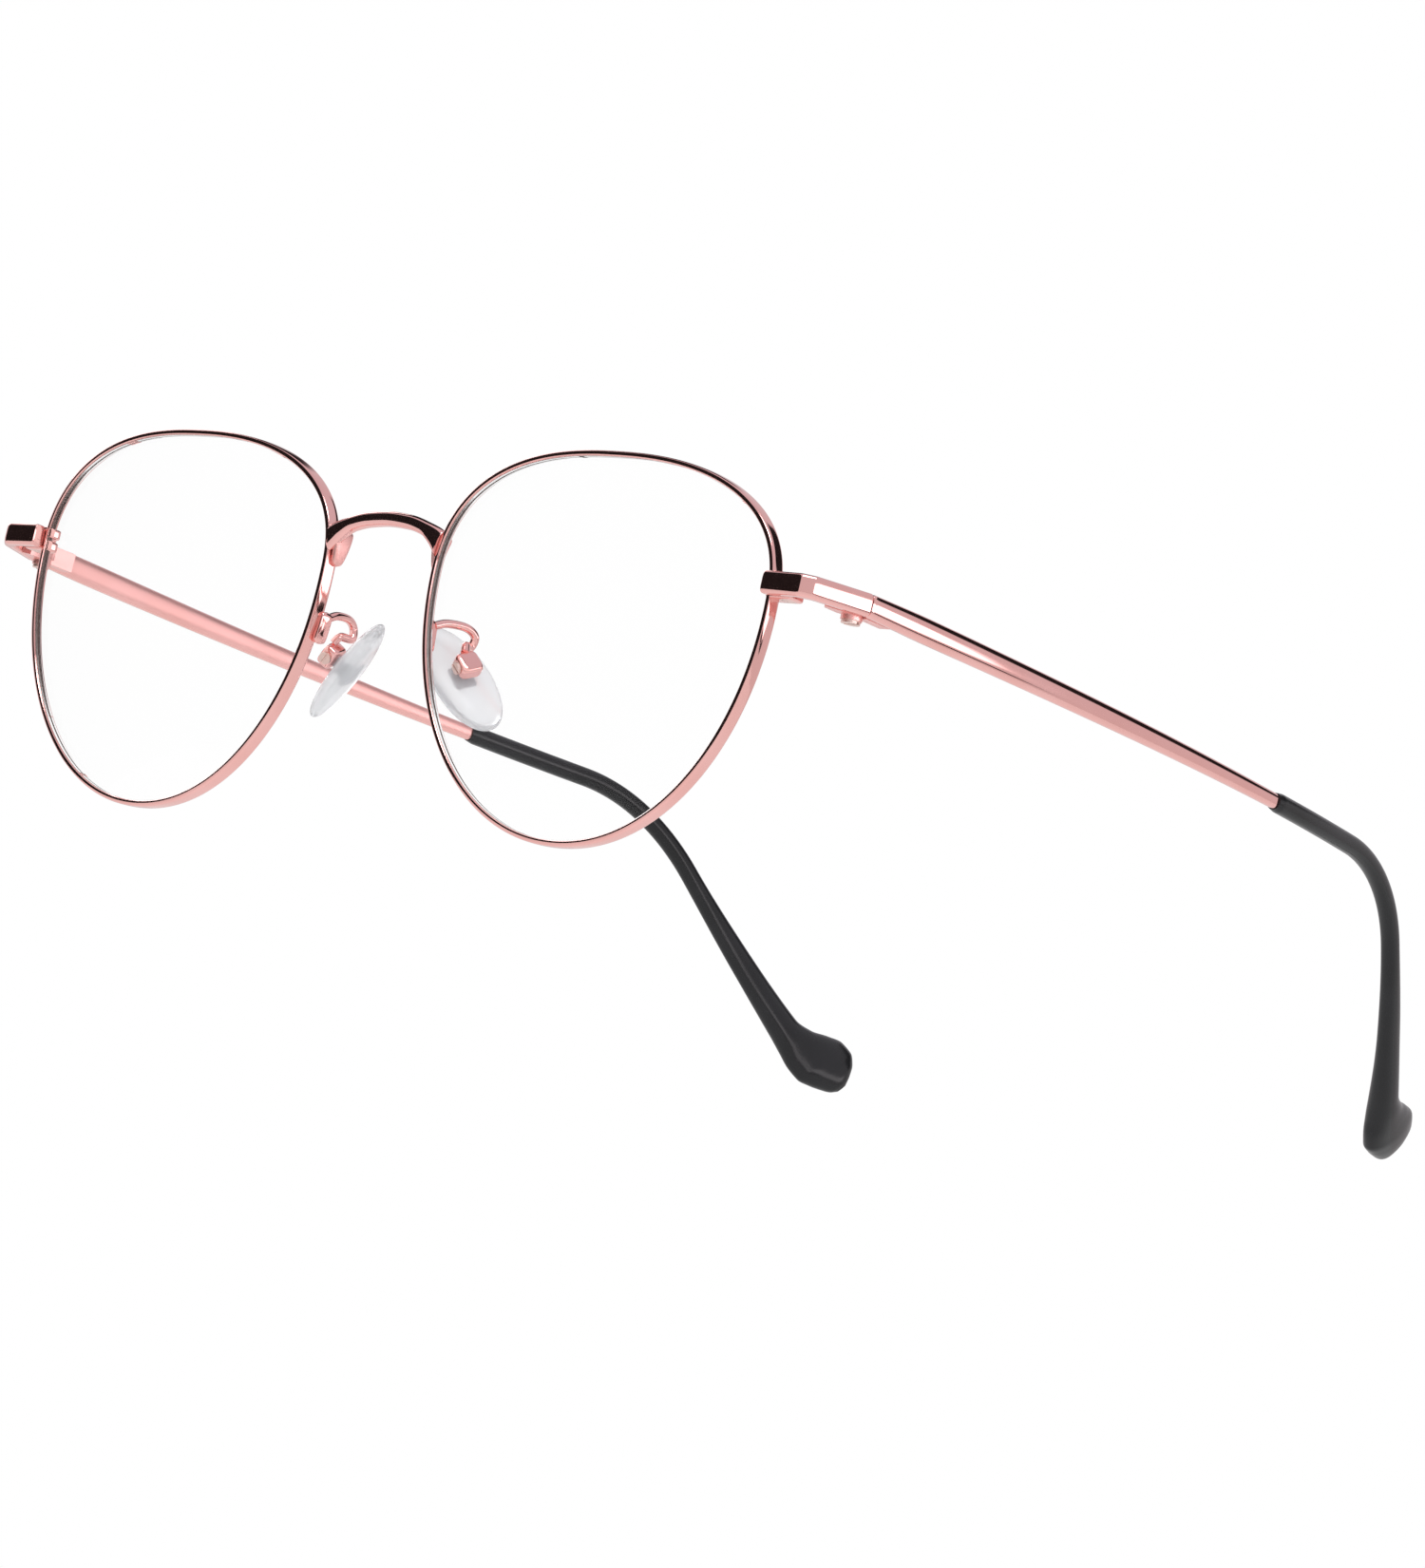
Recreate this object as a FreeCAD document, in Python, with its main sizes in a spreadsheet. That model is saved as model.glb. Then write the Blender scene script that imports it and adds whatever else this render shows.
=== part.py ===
"""Wire eyeglasses: two metal rims, a bridge, hinged temples with soft tips, and rocking nose pads.

Every piece is first laid out in the fitting frame: X towards the wearer's left with the bridge
at X = 0, Y backwards along the temples, Z up, with the line of the temples at Z = 0. The left
half is modelled, the right half mirrors it, and the finished pieces are then shifted together
so that the glasses stand on Z = 0 with the middle of their length at Y = 0.
"""

import FreeCAD, Part
import Sketcher

import math
import os

Vector = FreeCAD.Vector
Rotation = FreeCAD.Rotation
Placement = FreeCAD.Placement
X_AXIS = Vector(1, 0, 0)
Y_AXIS = Vector(0, 1, 0)
Z_AXIS = Vector(0, 0, 1)

doc = FreeCAD.newDocument("Eyeglasses")

# ---------------------------------------------------------------- driving dimensions, mm and degrees

SIZES = [
    # the lens opening of a rim, and how the two lenses sit on the face
    ("lens_width", 49.4, "widest part of the lens opening"),
    ("lens_height", 44.0, "height of the lens opening"),
    ("widest_above_foot", 29.0, "height of the widest line above the lowest point"),
    ("upper_squareness", 2.45, "superellipse exponent of the upper half: soft shoulders"),
    ("lower_squareness", 2.05, "superellipse exponent of the lower half: nearly an ellipse"),
    ("lens_gap", 18.6, "between the two lens openings, across the nose"),
    ("lens_spacing", "=lens_width + lens_gap", "distance between the two lens centres"),
    ("lens_drop", 7.4, "lens centre below the line of the temples"),
    ("front_depth", 1.5, "rim face at the lens centre, behind Y = 0"),
    ("wrap_angle", 2.4, "each lens turned back at its outer side"),
    ("pantoscopic_angle", 4.5, "lenses tilted, lower edge towards the cheek"),
    ("base_radius", 130.0, "radius of the lens's front curve, which the rim follows"),
    # rim wire and lens
    ("rim_wall", 0.7, "rim wire across its face"),
    ("rim_depth", 1.7, "rim wire from front to back"),
    ("rim_split", 0.25, "saw cut through the rim between the closing blocks"),
    ("groove_depth", 0.3, "lens groove inside the rim"),
    ("groove_width", 0.5, "lens groove across"),
    ("lens_thickness", 1.2, "lens at its edge"),
    ("lens_setback", 0.2, "lens face behind the rim face"),
    ("lens_clearance", 0.06, "gap all round between lens and rim"),
    ("tongue_width", 0.36, "bevelled edge of the lens that sits in the groove"),
    # bridge
    ("bridge_rise", 4.45, "middle of the bridge above the temple line"),
    ("bridge_setback", 2.95, "middle of the bridge behind Y = 0"),
    ("bridge_height", 1.75, "bridge bar, top to bottom"),
    ("bridge_thickness", 1.7, "bridge bar, front to back"),
    ("bridge_flare", 3.0, "height of the bridge bar where it meets the rim"),
    ("foot_thickness", 0.9, "plate of the bridge along the side of the rim"),
    ("foot_reach", 3.3, "how far the plate runs back"),
    ("foot_height", 4.6, "plate, top to bottom"),
    # end piece: a bent bar from the rim's face round to the hinge
    ("lug_height", 2.7, "end piece, top to bottom"),
    ("lug_thickness", 1.75, "end piece in front of the rim"),
    ("lug_length", 5.8, "end piece from the rim to its outer corner"),
    ("arm_thickness", 1.4, "side arm of the end piece"),
    ("arm_lean", 2.685, "middle of the side arm at the hinge seam, outwards from the lug's end"),
    ("arm_run", 6.739, "side arm from the rim's corner back to the hinge seam"),
    # closing blocks and their screw
    ("closing_width", 3.0, "closing block outwards from the rim"),
    ("closing_depth", 2.45, "closing block, front to back"),
    ("closing_height", 2.9, "both closing blocks together"),
    ("closing_screw_radius", 0.6, "shank"),
    ("closing_head_radius", 0.9, "head, sunk into the lower block"),
    ("closing_head_height", 0.4, "head"),
    # three-barrel hinge
    ("barrel_radius", 1.25, "hinge barrels"),
    ("barrel_clearance", 0.1, "gap between the barrels and the side arm's inner face"),
    (
        "hinge_inset",
        "=arm_thickness / 2 + barrel_radius + barrel_clearance",
        "hinge axis inside the middle of the side arm",
    ),
    ("barrel_height", 3.3, "all three barrels together"),
    ("hinge_drop", 0.2, "middle of the hinge below the temple line"),
    ("middle_barrel", 1.3, "room between the two outer barrels"),
    ("barrel_play", 0.04, "play above and below the middle barrel"),
    ("barrel_relief", 0.12, "gap round a barrel to the other leaf"),
    ("leaf_length", 4.2, "each hinge leaf along its arm"),
    ("leaf_height", 2.3, "each hinge leaf, top to bottom"),
    ("hinge_screw_radius", 0.55, "shank"),
    ("screw_play", 0.05, "radial play in a turning bore"),
    ("screw_fit", 0.01, "radial gap of a screw in a piece that it holds"),
    ("hinge_head_radius", 1.1, "head, under the lowest barrel"),
    ("hinge_head_height", 0.4, "head"),
    ("driver_slot", 0.3, "screwdriver slot across each head"),
    # temple and its soft tip
    ("seam_gap", 0.1, "gap between the side arm and the temple"),
    ("temple_height", 2.95, "temple near the hinge"),
    ("temple_thickness", 1.35, "temple, side to side"),
    ("temple_slim", 1.85, "temple height where the tip begins"),
    ("temple_slim_thickness", 1.4, "temple thickness where the tip begins"),
    ("temple_splay", 3.8, "outward run of the temple line in its first 100 mm, before it bows"),
    ("temple_bow", 2.0, "even bow of the temple line towards the head, at 100 mm"),
    ("tip_inset", 6.7, "inward sweep that grows with the cube of the distance, at 100 mm"),
    ("tip_start", 79.0, "length of bare temple"),
    ("bend_start", 98.8, "distance along the temple to the ear bend"),
    ("bend_radius", 26.0, "radius of the ear bend"),
    ("drop_angle", 46.2, "how far the tip turns down"),
    ("line_slope", 1.0, "fall of the straight part of the temple"),
    ("drop_length", 53.4, "tip from the start of the ear bend to its end"),
    ("tip_end", "=bend_start + drop_length", "distance along the temple to the end of the tip"),
    ("core_radius", 0.55, "wire of the temple inside the tip"),
    ("core_gap", 0.03, "gap between the wire and the tip"),
    ("core_short", 13.2, "wire of the temple ends before the end of the tip"),
    ("core_end", "=tip_end - core_short", "distance along the temple to the end of the wire"),
    ("shank_height", 2.4, "tip from its mouth to the ear bend"),
    ("shank_thickness", 2.15, "tip from its mouth to the ear bend, side to side"),
    ("calf_height", 4.3, "tip just above its foot"),
    ("toe_reach", 2.8, "foot of the tip, forwards from the temple's middle line"),
    ("heel_reach", 6.9, "foot of the tip, backwards from the temple's middle line"),
    ("foot_width", 3.6, "foot of the tip, side to side"),
    # nose pads, their boxes and arms
    ("pad_x", 9.35, "middle of the pad from the middle of the glasses"),
    ("pad_y", 10.95, "middle of the pad behind Y = 0"),
    ("pad_drop", 12.05, "middle of the pad below the temple line"),
    ("pad_splay", 43.0, "pad leaning outwards at its lower end"),
    ("pad_tilt", 10.6, "pad leaning back at its lower end"),
    ("pad_turn", 30.0, "pad's face turned towards the back"),
    ("pad_length", 15.0, "nose pad"),
    ("pad_width", 7.8, "nose pad"),
    ("pad_thickness", 2.5, "nose pad"),
    ("pad_pivot", 2.7, "pad screw behind the middle of the pad"),
    ("box_length", 2.8, "pad box along the pad"),
    ("box_width", 2.8, "pad box across the pad"),
    ("box_depth", 2.0, "pad box, from the pad backwards"),
    ("box_slot", 1.1, "slot of the pad box"),
    ("lug_plate", 0.95, "plate of the pad core in the slot"),
    ("lug_radius", 0.75, "round end of the pad core's plate"),
    ("pad_screw_radius", 0.35, "shank"),
    ("pad_head_radius", 0.75, "head"),
    ("pad_head_height", 0.35, "head"),
    ("core_plate", 0.7, "moulded-in plate of the pad core, thickness"),
    ("core_plate_length", 2.8, "moulded-in plate of the pad core, length"),
    ("core_plate_width", 2.4, "moulded-in plate of the pad core, width"),
    ("arm_radius", 0.5, "wire of the pad arm"),
    ("tab_height", 3.8, "foot of the pad arm along the rim"),
    ("tab_depth", 1.9, "foot of the pad arm, front to back"),
    ("tab_thickness", 1.0, "foot of the pad arm"),
]

sheet = doc.addObject("Spreadsheet::Sheet", "Sizes")
for row, (alias, value, meaning) in enumerate(SIZES, start=1):
    sheet.set(f"A{row}", meaning)
    sheet.set(f"B{row}", str(value))
    sheet.setAlias(f"B{row}", alias)
doc.recompute()


def size(alias):
    """The number in the cell with this alias."""
    return float(sheet.get(alias))


# ---------------------------------------------------------------- document objects


def block(name, lengths, corner):
    """A box from its lowest corner, with every size and place an expression on the sheet."""
    box = doc.addObject("Part::Box", name)
    for prop, text in zip(("Length", "Width", "Height"), lengths):
        box.setExpression(prop, text)
    for axis, text in zip("xyz", corner):
        box.setExpression(f"Placement.Base.{axis}", text)
    return box


def rod(name, radius, height, base, along_y=False):
    """A cylinder that starts at base and runs up, or backwards along Y."""
    cylinder = doc.addObject("Part::Cylinder", name)
    if along_y:
        cylinder.Placement = Placement(Vector(), Rotation(X_AXIS, -90))
    cylinder.setExpression("Radius", radius)
    cylinder.setExpression("Height", height)
    for axis, text in zip("xyz", base):
        cylinder.setExpression(f"Placement.Base.{axis}", text)
    return cylinder


def fuse(name, pieces):
    joined = doc.addObject("Part::MultiFuse", name)
    joined.Shapes = pieces
    joined.Refine = True
    return joined


def cut(name, base, tool):
    """Base with one tool, or the union of several, taken away."""
    remainder = doc.addObject("Part::Cut", name)
    remainder.Base = base
    remainder.Tool = tool if not isinstance(tool, list) else fuse(f"{name}_tools", tool)
    return remainder


def feature(name, shape):
    """A shape made in code, for the free-form pieces."""
    held = doc.addObject("Part::Feature", name)
    held.Shape = shape
    return held


def plan_body(name, corners, low, height):
    """A PartDesign body: a polygon in plan, corners given as expressions, padded upwards."""
    body = doc.addObject("PartDesign::Body", name)
    sketch = body.newObject("Sketcher::SketchObject", f"{name}_plan")
    plane = [o for o in body.Origin.OriginFeatures if o.Role == "XY_Plane"][0]
    sketch.AttachmentSupport = (plane, "")
    sketch.MapMode = "FlatFace"
    sketch.setExpression("AttachmentOffset.Base.z", low)
    points = [Vector(*(sketch.evalExpression(t) for t in corner), 0) for corner in corners]
    count = len(points)
    for i, start in enumerate(points):
        sketch.addGeometry(Part.LineSegment(start, points[(i + 1) % count]), False)
    for i in range(count):
        joint = Sketcher.Constraint("Coincident", i, 2, (i + 1) % count, 1)
        sketch.addConstraint(joint)
    for i, point in enumerate(points):
        for kind, reach, text in zip(("DistanceX", "DistanceY"), (point.x, point.y), corners[i]):
            index = sketch.addConstraint(Sketcher.Constraint(kind, -1, 1, i, 1, reach))
            sketch.setExpression(f"Constraints[{index}]", text)
    pad = body.newObject("PartDesign::Pad", f"{name}_pad")
    pad.Profile = sketch
    pad.setExpression("Length", height)
    body.Tip = pad
    return body


# ---------------------------------------------------------------- free-form shapes


def superellipse(angle, exponent):
    """Cosine and sine bent towards a square: both to the power 2/exponent, signs kept."""
    c = math.cos(angle)
    s = math.sin(angle)
    power = 2.0 / exponent
    return math.copysign(abs(c) ** power, c), math.copysign(abs(s) ** power, s)


def closed_curve(points):
    """A smooth closed wire through the points."""
    curve = Part.BSplineCurve()
    curve.interpolate(Points=points, PeriodicFlag=True)
    return Part.Wire([curve.toShape()])


def section(centre, along, across, half_across, half_up, exponent, points=24):
    """A rounded cross-section in the plane square to along. across is one of its two axes."""
    along = along.normalize()
    side = (across - along * across.dot(along)).normalize()
    up = side.cross(along).normalize()
    ring = []
    for i in range(points):
        c, s = superellipse(2 * math.pi * (i + 0.5) / points, exponent)
        ring.append(centre + side * (half_across * c) + up * (half_up * s))
    return closed_curve(ring)


def loft(sections):
    return Part.makeLoft(sections, True, False)


def lens_outline(grow, points=48):
    """The lens opening, grown outwards all round. Local axes: X outwards, Z up.

    Two half superellipses share the widest line. The offset moves each point along the
    outline's normal, which comes from its two neighbours.
    """
    half = size("lens_width") / 2
    below = size("widest_above_foot")
    above = size("lens_height") - below
    level = below - (size("lens_height") / 2 + 1.7)
    base = []
    for i in range(points):
        angle = 2 * math.pi * (i + 0.5) / points
        upper = math.sin(angle) > 0
        c, s = superellipse(angle, size("upper_squareness" if upper else "lower_squareness"))
        base.append(Vector(half * c, 0, level + (above if upper else below) * s))
    grown = []
    for i, point in enumerate(base):
        run = base[(i + 1) % points] - base[i - 1]
        outwards = Vector(run.z, 0, -run.x).normalize()
        grown.append(point + outwards * grow)
    return closed_curve(grown)


def lens_prism(grow):
    """A long straight prism over the grown outline, along the lens's axis Y."""
    reach = 30
    face = Part.Face(lens_outline(grow))
    return face.extrude(Vector(0, 2 * reach, 0)).translated(Vector(0, -reach, 0))


def curved_slab(front, back):
    """The space between two spheres about the lens's centre of curvature.

    front and back are distances behind the rim's face, measured on the lens's axis.
    """
    radius = size("base_radius")
    centre = Vector(0, radius, 0)
    return Part.makeSphere(radius - front, centre).cut(Part.makeSphere(radius - back, centre))


# The lens's own frame: turned back at its outer side, tilted, and moved to its place.
LENS_FRAME = Placement(
    Vector(size("lens_spacing") / 2, size("front_depth"), -size("lens_drop")),
    Rotation(X_AXIS, size("pantoscopic_angle")) * Rotation(Z_AXIS, size("wrap_angle")),
)


def in_lens_frame(shape):
    placed = shape.copy()
    placed.Placement = LENS_FRAME
    return placed


RIM_OUTSIDE = in_lens_frame(lens_prism(size("rim_wall")))

pieces = {}
half_pieces = []


def keep(name, held, placement=Placement()):
    """Registers a finished left or middle piece, and where it sits in the fitting frame."""
    held.Label = name
    pieces[name] = (held, placement)
    if name.endswith("_left"):
        half_pieces.append(name)


# ---------------------------------------------------------------- rim and lens


def rim_shape():
    """A ring of three layers, the middle one opened out into the lens groove.

    Each layer is a ring prism cut from a curved slab. A thin saw cut goes through at the
    line of the temples, on the outer side.
    """
    depth = size("rim_depth")
    half_groove = size("groove_width") / 2
    layers = [
        (0, 0, depth / 2 - half_groove),
        (size("groove_depth"), depth / 2 - half_groove, depth / 2 + half_groove),
        (0, depth / 2 + half_groove, depth),
    ]
    split = size("rim_split")
    saw = Part.makeBox(10, 80, split, Vector(size("lens_width") / 2 - 5, -40, -split / 2))
    saw.translate(Vector(0, 0, size("lens_drop")))
    outside = lens_prism(size("rim_wall")).cut(saw)
    rings = [
        outside.cut(lens_prism(opening)).common(curved_slab(front, back))
        for opening, front, back in layers
    ]
    return rings[0].fuse(rings[1]).fuse(rings[2]).removeSplitter()


def lens_shape():
    """A curved plate whose edge carries a narrow tongue for the rim's groove."""
    front = size("lens_setback")
    back = front + size("lens_thickness")
    gap = size("lens_clearance")
    middle = size("rim_depth") / 2
    half_tongue = size("tongue_width") / 2
    plate = lens_prism(-gap).common(curved_slab(front, back))
    tongue = lens_prism(size("groove_depth") - gap)
    tongue = tongue.common(curved_slab(middle - half_tongue, middle + half_tongue))
    return plate.fuse(tongue)


keep("rim_left", feature("rim_left", rim_shape()), LENS_FRAME)
keep("lens_left", feature("lens_left", lens_shape()), LENS_FRAME)

# ---------------------------------------------------------------- bridge


def bridge_shape():
    """An arched bar, flared at both ends, with a plate along the side of each rim."""
    rise = size("bridge_rise")
    back = size("bridge_setback")
    reach = size("lens_spacing") / 2 - size("lens_width") / 2
    slim = size("bridge_height") / 2
    flare = size("bridge_flare") / 2
    thick = size("bridge_thickness") / 2
    stations = [
        (0.0, rise, slim),
        (0.34, rise - 0.22, slim),
        (0.62, rise - 0.8, slim),
        (0.84, rise - 1.75, (slim + flare) / 2),
        (1.02, rise - 3.0, flare),
    ]
    outer = [(-s * reach, z, half) for s, z, half in reversed(stations[1:])]
    stations = outer + [(s * reach, z, half) for s, z, half in stations]
    ribs = []
    for i, (x, z, half) in enumerate(stations):
        before = stations[max(i - 1, 0)]
        after = stations[min(i + 1, len(stations) - 1)]
        along = Vector(after[0] - before[0], 0, after[1] - before[1])
        ribs.append(section(Vector(x, back, z), along, Y_AXIS, thick, half, 2.4))
    bar = loft(ribs)
    top = rise - 1.2
    low = top - size("foot_height")
    start = back - thick + 0.2
    end = start + size("foot_reach")
    profile = [(start, top), (end, top), (end - 1.0, low), (start + 1.0, low + 0.4)]
    corners = [Vector(0, y, z) for y, z in profile]
    plate = Part.Face(Part.makePolygon(corners + corners[:1]))
    plate = plate.extrude(Vector(size("foot_thickness") + 1.2, 0, 0))
    plate.translate(Vector(reach - 1.2 - size("foot_thickness") / 2, 0, 0))
    whole = bar
    for foot in (plate, plate.mirror(Vector(), X_AXIS)):
        whole = whole.fuse(foot)
    for side in (RIM_OUTSIDE, RIM_OUTSIDE.mirror(Vector(), X_AXIS)):
        whole = whole.cut(side)
    return max(whole.removeSplitter().Solids, key=lambda solid: solid.Volume)


keep("bridge", feature("bridge", bridge_shape()))

# ---------------------------------------------------------------- end piece and closing blocks

# The rim's outer corner at the temple line, where the end piece and closing blocks sit.
RIM_EDGE = size("lens_width") / 2 + size("rim_wall")
RIM_SAG = (RIM_EDGE**2 + size("lens_drop") ** 2) / (2 * size("base_radius"))
CORNER = LENS_FRAME.multVec(Vector(RIM_EDGE, RIM_SAG, size("lens_drop")))
CORNER_SIZES = [
    ("corner_x", round(CORNER.x, 3), "rim's outer corner at the temple line"),
    ("corner_y", round(CORNER.y, 3), "rim's outer corner at the temple line"),
    ("seam_x", "=corner_x + lug_length + arm_lean", "middle of the side arm at the hinge seam"),
    ("seam_y", "=corner_y + arm_run", "end of the side arm"),
]
for row, (alias, value, meaning) in enumerate(CORNER_SIZES, start=len(SIZES) + 1):
    sheet.set(f"A{row}", meaning)
    sheet.set(f"B{row}", str(value))
    sheet.setAlias(f"B{row}", alias)
doc.recompute()

END_PIECE_PLAN = [
    ("Sizes.corner_x - 0.4", "Sizes.corner_y - Sizes.lug_thickness - 0.1"),
    ("Sizes.corner_x + Sizes.lug_length - 0.6", "Sizes.corner_y - Sizes.lug_thickness + 0.3"),
    ("Sizes.corner_x + Sizes.lug_length + 0.8", "Sizes.corner_y - 0.2"),
    ("Sizes.seam_x + Sizes.arm_thickness / 2", "Sizes.seam_y"),
    ("Sizes.seam_x - Sizes.arm_thickness / 2", "Sizes.seam_y"),
    ("Sizes.corner_x + Sizes.lug_length - 0.6", "Sizes.corner_y + 1"),
    ("Sizes.corner_x + Sizes.lug_length - 2", "Sizes.corner_y"),
    ("Sizes.corner_x - 0.4", "Sizes.corner_y"),
]
end_bar = plan_body(
    "end_piece_bar", END_PIECE_PLAN, "-Sizes.lug_height / 2", "Sizes.lug_height"
)
rim_space = feature("rim_space", RIM_OUTSIDE.common(in_lens_frame(curved_slab(-0.01, 6))))
keep("end_piece_left", cut("end_piece_left", end_bar, rim_space))

BLOCK_HEIGHT = "(Sizes.closing_height - Sizes.rim_split) / 2"
BLOCK_FOOT = "-Sizes.closing_height / 2"
SCREW_X = "Sizes.corner_x + Sizes.closing_width / 2 + 0.1"
SCREW_Y = "Sizes.corner_y + Sizes.closing_depth / 2"
rim_prism = feature("rim_prism", RIM_OUTSIDE)
for place, low in (("upper", "Sizes.rim_split / 2"), ("lower", BLOCK_FOOT)):
    name = f"closing_block_{place}_left"
    solid = block(
        f"{name}_solid",
        ("Sizes.closing_width + 1", "Sizes.closing_depth", BLOCK_HEIGHT),
        ("Sizes.corner_x - 1", "Sizes.corner_y", low),
    )
    bore = rod(
        f"{name}_bore",
        "Sizes.closing_screw_radius + Sizes.screw_fit",
        "Sizes.closing_height * 2",
        (SCREW_X, SCREW_Y, "-Sizes.closing_height"),
    )
    sink = rod(
        f"{name}_sink",
        "Sizes.closing_head_radius + Sizes.screw_fit",
        "Sizes.closing_head_height + Sizes.screw_fit",
        (SCREW_X, SCREW_Y, BLOCK_FOOT),
    )
    keep(name, cut(name, solid, [bore, sink, rim_prism]))


def slotted_screw(name, shank, head, slot):
    """A shank with a round head across one end and a driver slot in the head."""
    body = fuse(f"{name}_solid", [shank, head])
    groove = block(f"{name}_slot", *slot)
    return cut(name, body, groove)


keep(
    "closing_screw_left",
    slotted_screw(
        "closing_screw_left",
        rod(
            "closing_screw_shank",
            "Sizes.closing_screw_radius",
            "Sizes.closing_height - 0.2",
            (SCREW_X, SCREW_Y, BLOCK_FOOT),
        ),
        rod(
            "closing_screw_head",
            "Sizes.closing_head_radius",
            "Sizes.closing_head_height",
            (SCREW_X, SCREW_Y, BLOCK_FOOT),
        ),
        (
            ("Sizes.closing_head_radius * 2", "Sizes.driver_slot", "Sizes.driver_slot"),
            (
                f"{SCREW_X} - Sizes.closing_head_radius",
                f"{SCREW_Y} - Sizes.driver_slot / 2",
                BLOCK_FOOT,
            ),
        ),
    ),
)

# ---------------------------------------------------------------- hinge

HINGE_X = "(Sizes.seam_x - Sizes.hinge_inset)"
HINGE_Y = "Sizes.seam_y"
ROOM_LOW = "(-Sizes.hinge_drop - Sizes.middle_barrel / 2)"
ROOM_HIGH = "(-Sizes.hinge_drop + Sizes.middle_barrel / 2)"
HINGE_FOOT = "(-Sizes.hinge_drop - Sizes.barrel_height / 2)"
LEAF_FOOT = "(-Sizes.hinge_drop - Sizes.leaf_height / 2)"
OUTER = "(Sizes.barrel_height - Sizes.middle_barrel) / 2"

arm_slope = (
    "(Sizes.seam_x - Sizes.arm_thickness / 2 - Sizes.corner_x - Sizes.lug_length + 0.6)"
    " / (Sizes.seam_y - Sizes.corner_y - 1)"
)
arm_face = "(Sizes.seam_x - Sizes.arm_thickness / 2 - {} * " + arm_slope + ")"
FRONT_LEAF_PLAN = [
    (arm_face.format("Sizes.leaf_length"), "Sizes.seam_y - Sizes.leaf_length"),
    (arm_face.format("0.2"), "Sizes.seam_y - 0.2"),
    (f"{HINGE_X} - 0.6", "Sizes.seam_y - 0.2"),
    (f"{HINGE_X} - Sizes.barrel_radius", "Sizes.seam_y - 1.2"),
    (f"{HINGE_X} - Sizes.barrel_radius", "Sizes.seam_y - Sizes.leaf_length + 0.8"),
]
front_plate = plan_body("front_leaf_plate", FRONT_LEAF_PLAN, LEAF_FOOT, "Sizes.leaf_height")
front_barrels = [
    rod(
        f"front_barrel_{place}",
        "Sizes.barrel_radius",
        OUTER,
        (HINGE_X, HINGE_Y, low),
    )
    for place, low in (("low", HINGE_FOOT), ("high", ROOM_HIGH))
]
middle_room = rod(
    "middle_room",
    "Sizes.barrel_radius + Sizes.barrel_relief",
    "Sizes.middle_barrel",
    (HINGE_X, HINGE_Y, ROOM_LOW),
)
front_bore = rod(
    "front_bore",
    "Sizes.hinge_screw_radius + Sizes.screw_fit",
    "Sizes.barrel_height * 2",
    (HINGE_X, HINGE_Y, "-Sizes.barrel_height"),
)
keep(
    "hinge_front_leaf_left",
    cut(
        "hinge_front_leaf_left",
        fuse("front_leaf_solid", [front_plate] + front_barrels),
        [middle_room, front_bore],
    ),
)

TEMPLE_FACE = "Sizes.seam_x - Sizes.temple_thickness / 2"
temple_plate = block(
    "temple_leaf_plate",
    (
        f"{TEMPLE_FACE} - {HINGE_X} + 0.2",
        "Sizes.leaf_length",
        "Sizes.leaf_height",
    ),
    (f"{HINGE_X} - 0.2", "Sizes.seam_y + 0.9", LEAF_FOOT),
)
temple_web = block(
    "temple_leaf_web",
    (
        f"{TEMPLE_FACE} - {HINGE_X} + 0.4",
        "1.6",
        "Sizes.middle_barrel - 2 * Sizes.barrel_play",
    ),
    (f"{HINGE_X} - 0.4", "Sizes.seam_y + Sizes.seam_gap", f"{ROOM_LOW} + Sizes.barrel_play"),
)
middle_barrel = rod(
    "middle_barrel_rod",
    "Sizes.barrel_radius",
    "Sizes.middle_barrel - 2 * Sizes.barrel_play",
    (HINGE_X, HINGE_Y, f"{ROOM_LOW} + Sizes.barrel_play"),
)
outer_rooms = [
    rod(
        f"outer_room_{place}",
        "Sizes.barrel_radius + Sizes.barrel_relief",
        OUTER,
        (HINGE_X, HINGE_Y, low),
    )
    for place, low in (
        ("low", f"{HINGE_FOOT} + Sizes.barrel_play"),
        ("high", f"{ROOM_HIGH} - Sizes.barrel_play"),
    )
]
temple_bore = rod(
    "temple_bore",
    "Sizes.hinge_screw_radius + Sizes.screw_play",
    "Sizes.barrel_height * 2",
    (HINGE_X, HINGE_Y, "-Sizes.barrel_height"),
)
keep(
    "hinge_temple_leaf_left",
    cut(
        "hinge_temple_leaf_left",
        fuse("temple_leaf_solid", [temple_plate, temple_web, middle_barrel]),
        outer_rooms + [temple_bore],
    ),
)

keep(
    "hinge_screw_left",
    slotted_screw(
        "hinge_screw_left",
        rod(
            "hinge_screw_shank",
            "Sizes.hinge_screw_radius",
            "Sizes.barrel_height",
            (HINGE_X, HINGE_Y, HINGE_FOOT),
        ),
        rod(
            "hinge_screw_head",
            "Sizes.hinge_head_radius",
            "Sizes.hinge_head_height",
            (HINGE_X, HINGE_Y, f"{HINGE_FOOT} - Sizes.hinge_head_height"),
        ),
        (
            ("Sizes.hinge_head_radius * 2", "Sizes.driver_slot", "Sizes.driver_slot"),
            (
                f"{HINGE_X} - Sizes.hinge_head_radius",
                f"{HINGE_Y} - Sizes.driver_slot / 2",
                f"{HINGE_FOOT} - Sizes.hinge_head_height",
            ),
        ),
    ),
)

# ---------------------------------------------------------------- temple and tip


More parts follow.
